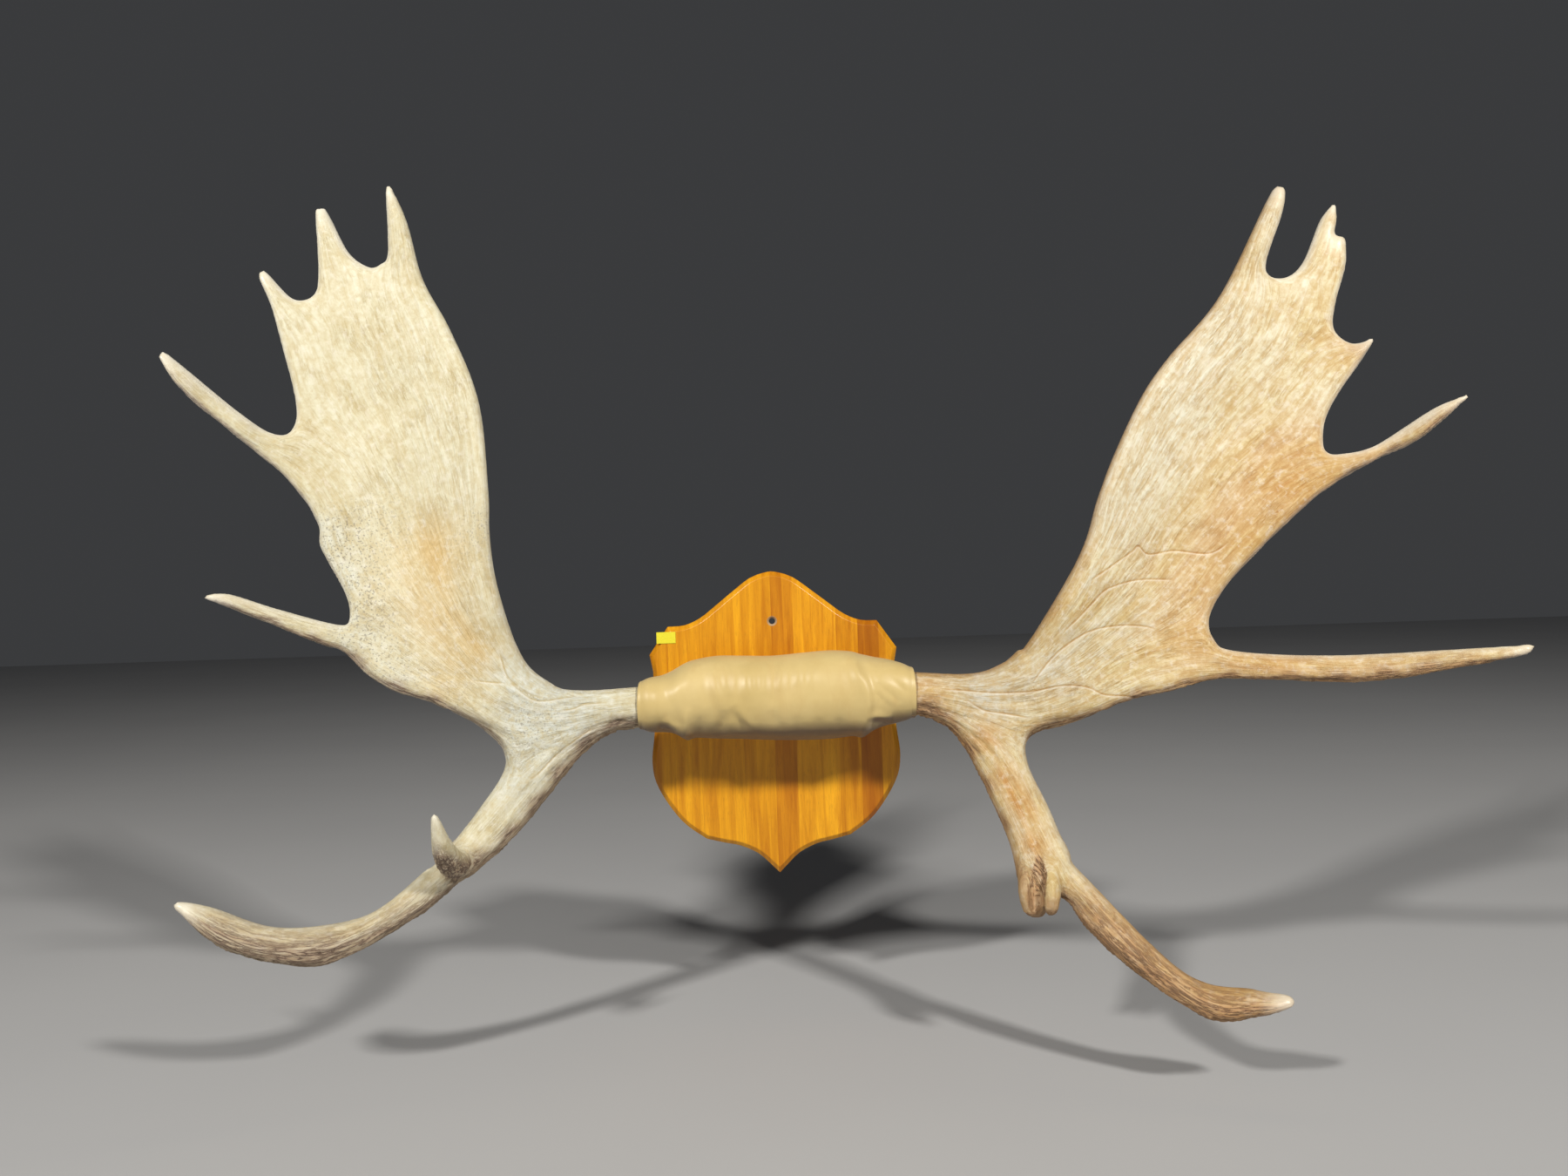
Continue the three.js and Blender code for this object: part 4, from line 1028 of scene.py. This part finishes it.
def antler_body(antler, plan):
    """Points in millimetres and four-sided faces of the antler's skin."""
    cut = {key: plan[key][::2, ::2] for key in ("x", "z", "depth", "middle", "lean", "half", "rounding")}
    used = cut["depth"] > -VOXEL
    reach = cut["half"] * cut["lean"]
    near = min(np.min((cut["middle"] - reach)[used]),
               *[p[1] - r for horn in antler["side_tines"] for p, r in zip(horn["path"], horn["radii"])])
    far = np.max((cut["middle"] + reach)[used])
    ys = np.arange(near - MARGIN, far + MARGIN, VOXEL)
    depth, middle, lean, half, rounding = [
        cut[key][:, None, :] for key in ("depth", "middle", "lean", "half", "rounding")]
    offset = (ys[None, :, None] - middle) / lean
    rim = np.maximum(rounding - depth, 0) / rounding
    field = half * (np.sqrt(rim ** 2 + (offset / half) ** 2) - 1)
    # side tines and tips are added to the sheet, and hollows, with the sign turned, are taken out of it
    bodies = [(horn, WELD, 1) for horn in antler["side_tines"]]
    bodies += [(horn, TIP_WELD, 1) for horn in tip_horns(plan)]
    bodies += [(horn, TIP_WELD, -1) for horn in antler["hollows"]]
    for horn, softness, sign in bodies:
        path = np.array(horn["path"], float)
        room = max(horn["radii"]) + MARGIN
        near_x, near_z = [(np.abs(cut[key] - path[:, k].mean()) < np.ptp(path[:, k]) / 2 + room)
                          for key, k in (("x", 0), ("z", 2))]
        rows, columns = [np.flatnonzero((near_x & near_z).any(axis=axis)) for axis in (1, 0)]
        box = np.ix_(rows, np.arange(len(ys)), columns)
        box_x, box_z = [cut[key][np.ix_(rows, columns)][:, None, :] for key in ("x", "z")]
        x, y, z = np.broadcast_arrays(box_x, ys[None, :, None], box_z)
        horn_field = horn_distance(np.c_[x.ravel(), y.ravel(), z.ravel()], horn)[0].reshape(x.shape)
        field[box] = sign * welded(sign * field[box], horn_field, softness)
    # the skin ends inside the leather
    field = np.maximum(field, BURR_X - antler["side"] * cut["x"][:, None, :])
    limit = 3 * VOXEL
    grid = openvdb.FloatGrid(limit)
    grid.copyFromArray(np.clip(field, -limit, limit).astype(np.float32))
    points, faces = grid.convertToQuads(0.0)
    low = np.array([plan["low"][0], ys[0], plan["low"][1]])
    points = points * VOXEL + low
    corners = points[faces[:, :3]]
    volume = np.einsum("ij,ij->i", corners[:, 0], np.cross(corners[:, 1], corners[:, 2])).sum()
    return points, faces if volume > 0 else faces[:, ::-1]


def patches(spots, x, z):
    """How strongly a set of soft round patches covers each place, from 0 to 1."""
    total = np.zeros(len(x))
    for px, pz, radius, strength in spots:
        total += strength * np.exp(-((x - px) ** 2 + (z - pz) ** 2) / radius ** 2)
    return np.clip(total, 0, 1)


def vessel_distance(vessels, x, z, offset):
    """How far below the nearest vessel furrow each place of the front lies, and how strong that is."""
    below, strength = np.full(len(x), VESSEL_REACH), np.zeros(len(x))
    for line in vessels:
        path = spline(line, 1.0)
        along = np.gradient(path, axis=0)
        up = np.c_[-along[:, 1], along[:, 0]] * np.sign(along[:, :1]) / np.linalg.norm(along, axis=1)[:, None]
        low, high = path.min(axis=0) - VESSEL_REACH, path.max(axis=0) + VESSEL_REACH
        near = np.flatnonzero((offset < 0) & (x > low[0]) & (x < high[0]) & (z > low[1]) & (z < high[1]))
        gaps = np.hypot(x[near, None] - path[:, 0], z[near, None] - path[:, 1])
        closest = gaps.argmin(axis=1)
        gap = gaps.min(axis=1)
        away_x, away_z = x[near] - path[closest, 0], z[near] - path[closest, 1]
        side = -(away_x * up[closest, 0] + away_z * up[closest, 1])
        nearer = gap < np.abs(below[near])
        chosen = near[nearer]
        below[chosen] = side[nearer]
        taper = np.minimum(closest, len(path) - 1 - closest) / VESSEL_TAPER
        strength[chosen] = np.clip(taper[nearer], 0, 1) * np.clip(2 - gap[nearer] / VESSEL_REACH * 2, 0, 1)
    return below, strength


def with_side_tines(antler, plan, points, clear, furrow, along):
    """Gives the side tines furrows of their own. clear is how far each point stands off the sheet."""
    for horn in antler["side_tines"]:
        gap, run, angle = horn_distance(points, horn)
        own = np.clip(clear / SIDE_TINE_FADE, 0, 1) * np.clip(1.6 - gap / 3, 0, 1)
        foot_x, _, foot_z = np.array(horn["path"][0], float)[:, None]
        foot = sampled(plan["furrows"], 2 * PLAN_STEP, plan["low"], foot_x, foot_z)
        furrow = furrow * (1 - own) + own * (foot + np.abs(angle) / math.pi * SIDE_TINE_FLOW)
        along = along * (1 - own) + own * (math.hypot(foot_x[0] - antler["side"] * BURR_X, foot_z[0]) + run)
    return furrow, along


def tip_distance(antler, plan, points):
    """Distance from each point to the nearest tine's tip."""
    tips = [horn["polished"] for horn in antler["side_tines"] if "polished" in horn]
    for x, z in plan["tips"]:
        y = sampled(plan["middle"], PLAN_STEP, plan["low"], np.array([x]), np.array([z]))[0]
        tips.append((x, y, z))
    return np.min([np.linalg.norm(points - np.array(tip), axis=1) for tip in tips], axis=0)


def add_attribute(mesh, name, values, kind="FLOAT"):
    """Gives each point of the mesh a number, or three of them."""
    made = mesh.attributes.new(name, kind, "POINT")
    key = "vector" if kind == "FLOAT_VECTOR" else "value"
    made.data.foreach_set(key, np.ascontiguousarray(values, float).ravel())


def antler_mesh(antler, name):
    """The antler's skin, with what its relief and its colours need to know at each point."""
    plan = plan_of(antler)
    points, faces = antler_body(antler, plan)
    mesh = bpy.data.meshes.new(name)
    mesh.from_pydata(points * MM, [], faces)
    mesh.shade_smooth()
    x, y, z = points.T

    def at(key, step=PLAN_STEP):
        return sampled(plan[key], step, plan["low"], x, z)

    depth, half = np.maximum(at("depth"), 0), at("half")
    offset = (y - at("middle")) / at("lean")
    furrow, along = with_side_tines(
        antler, plan, points, np.abs(offset) - half * 0.9, at("furrows", 2 * PLAN_STEP),
        np.hypot(x - antler["side"] * BURR_X, z - antler["form"][0][1]))
    normals = np.empty(len(points) * 3)
    mesh.vertex_normals.foreach_get("vector", normals)
    downward = -normals.reshape(-1, 3)[:, 2]
    below_vessel, vessel = vessel_distance(antler["vessels"], x, z, offset)
    rim = np.exp(-depth / RIM_REACH)
    polish = np.clip(1.15 * np.exp(-(tip_distance(antler, plan, points) / POLISH_REACH) ** 1.5), 0, 1)
    thick = np.clip((half - 9) / 9, 0, 1)
    # painted shade: the skin is darkened where it faces down, most near the rim
    under = np.clip(downward * 1.6 - 0.1, 0, 1) * (0.6 + 0.4 * rim)
    # brown patches, partly painted shade, made stronger where the skin faces down, with the painted shade of
    # the undersides added
    browned_and_shaded = np.clip(patches(antler["browned_and_shaded"], x, z) * np.clip(1 + 0.6 * downward, 0, 1) + under, 0, 1)
    # painted shade inside each hollow
    for hollow in antler["hollows"]:
        browned_and_shaded = browned_and_shaded + np.clip(2.0 - horn_distance(points, hollow)[0], 0, 1)
    furrowed = 0.15 + 0.6 * thick ** 0.7 + 0.7 * np.clip(browned_and_shaded, 0, 1)
    add_attribute(mesh, "grain", np.c_[furrow, along / 100, offset / 20], "FLOAT_VECTOR")
    add_attribute(mesh, "pitch", at("pitch", 2 * PLAN_STEP))
    add_attribute(mesh, "rim_tone", at("rim_tone") * np.exp(-depth / RIM_TONE_REACH))
    add_attribute(mesh, "polish", polish)
    add_attribute(mesh, "vessel", vessel)
    add_attribute(mesh, "below_vessel", below_vessel)
    for mark in ("pallor", "stain", "grey", "speckle"):
        add_attribute(mesh, mark, patches(antler[mark + "s"], x, z))
    add_attribute(mesh, "browned_and_shaded", browned_and_shaded)
    add_attribute(mesh, "relief", furrowed * (1 - polish) * (1 - 0.6 * rim * (1 - under)))
    return mesh


def warped(tree, grain, place):
    """The grain, made to wander a little from side to side."""
    wander = noise(tree, place, 14.0, 2.0, 0.5)
    shift = add(tree, "ShaderNodeCombineXYZ", {0: centred(tree, wander)}).outputs[0]
    inputs = {0: shift, 1: (GRAIN_WANDER,) * 3, 2: grain}
    return add(tree, "ShaderNodeVectorMath", inputs, operation="MULTIPLY_ADD").outputs[0]


def unsigned(tree, value):
    """A value without its sign."""
    return maths(tree, "ABSOLUTE", value)


def relief_tree():
    """Furrows and pits raised on an antler's skin, along its own grain."""
    tree = bpy.data.node_groups.new("antler_relief", "GeometryNodeTree")
    for name, kind in (("Antler", "Geometry"), ("Furrow depth", "Float"), ("Furrow pitch", "Float"),
                       ("Pit depth", "Float"), ("Vessel depth", "Float"), ("Bone", "Material")):
        tree.interface.new_socket(name, in_out="INPUT", socket_type="NodeSocket" + kind)
    tree.interface.new_socket("Antler", in_out="OUTPUT", socket_type="NodeSocketGeometry")
    given = add(tree, "NodeGroupInput").outputs

    def read(name, kind="FLOAT"):
        return add(
            tree, "GeometryNodeInputNamedAttribute", {"Name": name}, data_type=kind).outputs["Attribute"]

    place = add(tree, "GeometryNodeInputPosition").outputs[0]
    grain = stretched(tree, warped(tree, read("grain", "FLOAT_VECTOR"), place), (1.0, 0.9, 1.6))
    furrow = noise(tree, grain, given["Furrow pitch"], 1.5, 0.55, 0.25)
    course = noise(tree, grain, times(tree, given["Furrow pitch"], 0.6), 1.0, 0.5, 0.4)
    cleft = ranged(tree, unsigned(tree, centred(tree, course)), 0.0, 0.07, -0.22, 0.0)
    raised = times(tree, maths(tree, "ADD", centred(tree, furrow), cleft), given["Furrow depth"])
    pit = times(tree, centred(tree, noise(tree, place, 160.0, 1.0)), given["Pit depth"])
    rough = times(tree, maths(tree, "ADD", raised, pit), read("relief"))
    # a vessel's furrow, with a bank below it
    below = read("below_vessel")
    groove = ranged(tree, unsigned(tree, below), 0.0, 2.6, -1.0, 0.0)
    bank = times(tree, ranged(tree, below, 1.0, 3.0), ranged(tree, below, 3.0, 7.0, 0.6, 0.0))
    veined = times(
        tree, times(tree, maths(tree, "ADD", groove, bank), read("vessel")), given["Vessel depth"])
    height = maths(tree, "ADD", rough, veined)
    normal = add(tree, "GeometryNodeInputNormal").outputs[0]
    shift = add(tree, "ShaderNodeVectorMath", {0: normal, "Scale": height}, operation="SCALE").outputs[0]
    moved = add(tree, "GeometryNodeSetPosition", {"Geometry": given["Antler"], "Offset": shift}).outputs[0]
    real = add(tree, "GeometryNodeRealizeInstances", {"Geometry": moved}).outputs[0]
    coated = add(tree, "GeometryNodeSetMaterial", {"Geometry": real, "Material": given["Bone"]}).outputs[0]
    tree.links.new(coated, add(tree, "NodeGroupOutput").inputs[0])
    return tree


def antler_material(name, antler):
    """Antler bone: streaks along the grain, patches over them, then cracks, pores, vessels and rims, with
    painted shade underneath and in hollows and a painted highlight below each vessel.
    """
    material, tree, shader = new_material(name)
    colours = antler["colours"]
    contrast = antler["streak_contrast"]
    place = object_place(tree)

    def read(attribute, output="Fac"):
        return add(tree, "ShaderNodeAttribute", attribute_name=attribute).outputs[output]

    def darkened(colour):
        return mixed(tree, 1.0, colour, colours["fibre"], "MULTIPLY")

    grain = warped(tree, read("grain", "Vector"), place)
    # the grain's numbers crowd together on the narrow beam, so it takes a coarser pattern than the palm
    crowding = ranged(tree, read("pitch"), 8.0, 24.0)

    def along_grain(scale, stretch, detail, roughness, distortion):
        coarse, fine = [
            noise(tree, stretched(tree, grain, (1.0, stretch * longer, 0.8)), scale * size, detail,
                  roughness, distortion * bending)
            for size, longer, bending in ((0.3, 5, 2.5), (1, 1, 1))]
        return add(tree, "ShaderNodeMix", {0: crowding, 2: coarse, 3: fine}).outputs[0]

    broad = noise(tree, stretched(tree, grain, (1.0, 0.35, 0.7)), 1.9, 5.0, 0.6, 0.4)
    islands = along_grain(12.0, 0.28, 5.0, 0.68, 0.35)
    fibres = along_grain(24.0, 0.12, 3.0, 0.6, 0.25)
    cracks = unsigned(tree, centred(tree, along_grain(8.0, 0.22, 6.0, 0.7, 0.2)))
    crackle = noise(tree, place, 150.0, 5.0, 0.62, 0.3)
    cloud = noise(tree, place, 20.0, 4.0, 0.55)
    patchy = noise(tree, place, 34.0, 3.0, 0.5)
    streak = colour_ramp(tree, broad, {0.30: colours["deep"], 0.46: colours["main"], 0.64: colours["light"]})
    base = mixed(tree, 0.35 + 0.4 * contrast, colours["main"], streak)
    pallor = maths(
        tree, "MAXIMUM", times(tree, read("pallor"), 0.9), ranged(tree, cloud, 0.42, 0.68, 0.0, 0.5))
    clouded = mixed(tree, pallor, base, colours["light"])
    stain = times(tree, read("stain"), ranged(tree, broad, 0.3, 0.6, 0.45, 1.0))
    stained = mixed(tree, stain, clouded, colours["stain"])
    grey = times(tree, read("grey"), ranged(tree, crackle, 0.35, 0.6, 0.45, 1.0))
    greyed = mixed(tree, grey, stained, colours["grey"])
    # pale islands on a darker ground, with dark fibres and cracks here and there
    sunk = darkened(greyed)
    grounded = mixed(tree, ranged(tree, islands, 0.36, 0.60, 0.8 * contrast, 0.0), greyed, sunk)
    fibrous = mixed(tree, ranged(tree, fibres, 0.54, 0.70, 0.0, 0.7 * contrast), grounded, sunk)
    cracked_share = maths(tree, "MAXIMUM", ranged(tree, patchy, 0.42, 0.62, 0.1, 0.65), read("browned_and_shaded"))
    cracking = times(tree, ranged(tree, cracks, 0.0, 0.035, 1.0, 0.0), cracked_share)
    cracked = mixed(tree, cracking, fibrous, darkened(fibrous))
    mottled = mixed(tree, ranged(tree, crackle, 0.32, 0.50, 0.6, 0.0), cracked, sunk)
    glinting = mixed(tree, ranged(tree, crackle, 0.52, 0.72, 0.0, 0.5), mottled, colours["pale"])
    dots = ranged(tree, noise(tree, place, 470.0, 3.0, 0.55), 0.56, 0.64)
    flecks = times(tree, dots, times(tree, read("speckle"), 0.7))
    flecked = mixed(tree, flecks, glinting, colours["fleck"])
    # brown places, partly painted shade: tan between the islands, dark cracks, and the darkest painted shade
    # inside a hollow
    lined = ranged(tree, maths(tree, "ADD", islands, times(tree, cracks, 1.5)), 0.45, 0.75, 1.0, 0.45)
    browning_and_shade = times(tree, ranged(tree, read("browned_and_shaded"), 0.05, 0.8), lined)
    tanned_and_shaded = mixed(tree, browning_and_shade, flecked, colours["tan"])
    gashes_and_crevice_shade = times(tree, ranged(tree, cracks, 0.0, 0.05, 1.0, 0.0), ranged(tree, read("browned_and_shaded"), 0.2, 0.9))
    darkest = maths(tree, "MAXIMUM", gashes_and_crevice_shade, ranged(tree, read("browned_and_shaded"), 1.1, 1.9))
    browned_and_shaded = mixed(tree, darkest, tanned_and_shaded, colours["under"])
    # a vessel's furrow is darkened with painted shade, and the bank below it is lightened with a painted
    # highlight
    vessel, below = read("vessel"), read("below_vessel")
    shaded = times(tree, vessel, ranged(tree, unsigned(tree, below), 0.3, 1.3, 0.8, 0.0))
    veined = mixed(tree, shaded, browned_and_shaded, darkened(browned_and_shaded))
    bank = times(tree, ranged(tree, below, 0.5, 1.3), ranged(tree, below, 1.5, 3.0, 0.4, 0.0))
    bank_highlighted = mixed(tree, times(tree, vessel, bank), veined, colours["pale"])
    # rims are stained or worn pale, and tips are rubbed pale and smooth
    polish, rim_tone = read("polish"), read("rim_tone")
    rimmed = mixed(tree, ranged(tree, rim_tone, 0.0, -1.0, 0.0, 0.8), bank_highlighted, colours["rim"])
    rim_wear = ranged(tree, rim_tone, 0.1, 0.9, 0.0, 0.75)
    worn = maths(tree, "MAXIMUM", ranged(tree, polish, 0.25, 0.9, 0.0, 0.55), rim_wear)
    tree.links.new(mixed(tree, worn, rimmed, colours["pale"]), shader.inputs["Base Color"])
    height = maths(tree, "ADD", times(tree, islands, 1.2), times(tree, crackle, 0.5))
    for sunken, share in ((fibres, 0.3), (cracking, 0.25), (maths(tree, "ADD", flecks, shaded), 0.3)):
        height = maths(tree, "SUBTRACT", height, times(tree, sunken, share))
    bumped(tree, shader, times(tree, height, ranged(tree, polish, 0.0, 0.9, 1.0, 0.1)), 0.0013, 0.8)
    tree.links.new(ranged(tree, polish, 0.0, 1.0, 0.56, 0.3), shader.inputs["Roughness"])
    return material


relief = relief_tree()
RELIEF = {"Furrow depth": 5.5 * MM, "Furrow pitch": 2.4, "Pit depth": 0.5 * MM, "Vessel depth": 0.8 * MM}


def raise_relief(obj, values):
    """Runs the relief over the piece and keeps what it gives."""
    modifier = obj.modifiers.new("relief", "NODES")
    modifier.node_group = relief
    for item in relief.interface.items_tree:
        if item.in_out == "INPUT" and item.name in values:
            modifier[item.identifier] = values[item.name]
    as_plain_mesh(obj)


for name, antler in (("left", LEFT), ("right", RIGHT)):
    bone = antler_material(f"{name}_antler_bone", antler)
    piece = put(f"{name}_antler", antler_mesh(antler, f"{name}_antler_shape"), bone)
    raise_relief(piece, {**RELIEF, "Bone": bone})
    piece.data.shade_smooth()
    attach(piece, "root")
    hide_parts(f"{name}_beam", f"{name}_palm", f"{name}_brow")
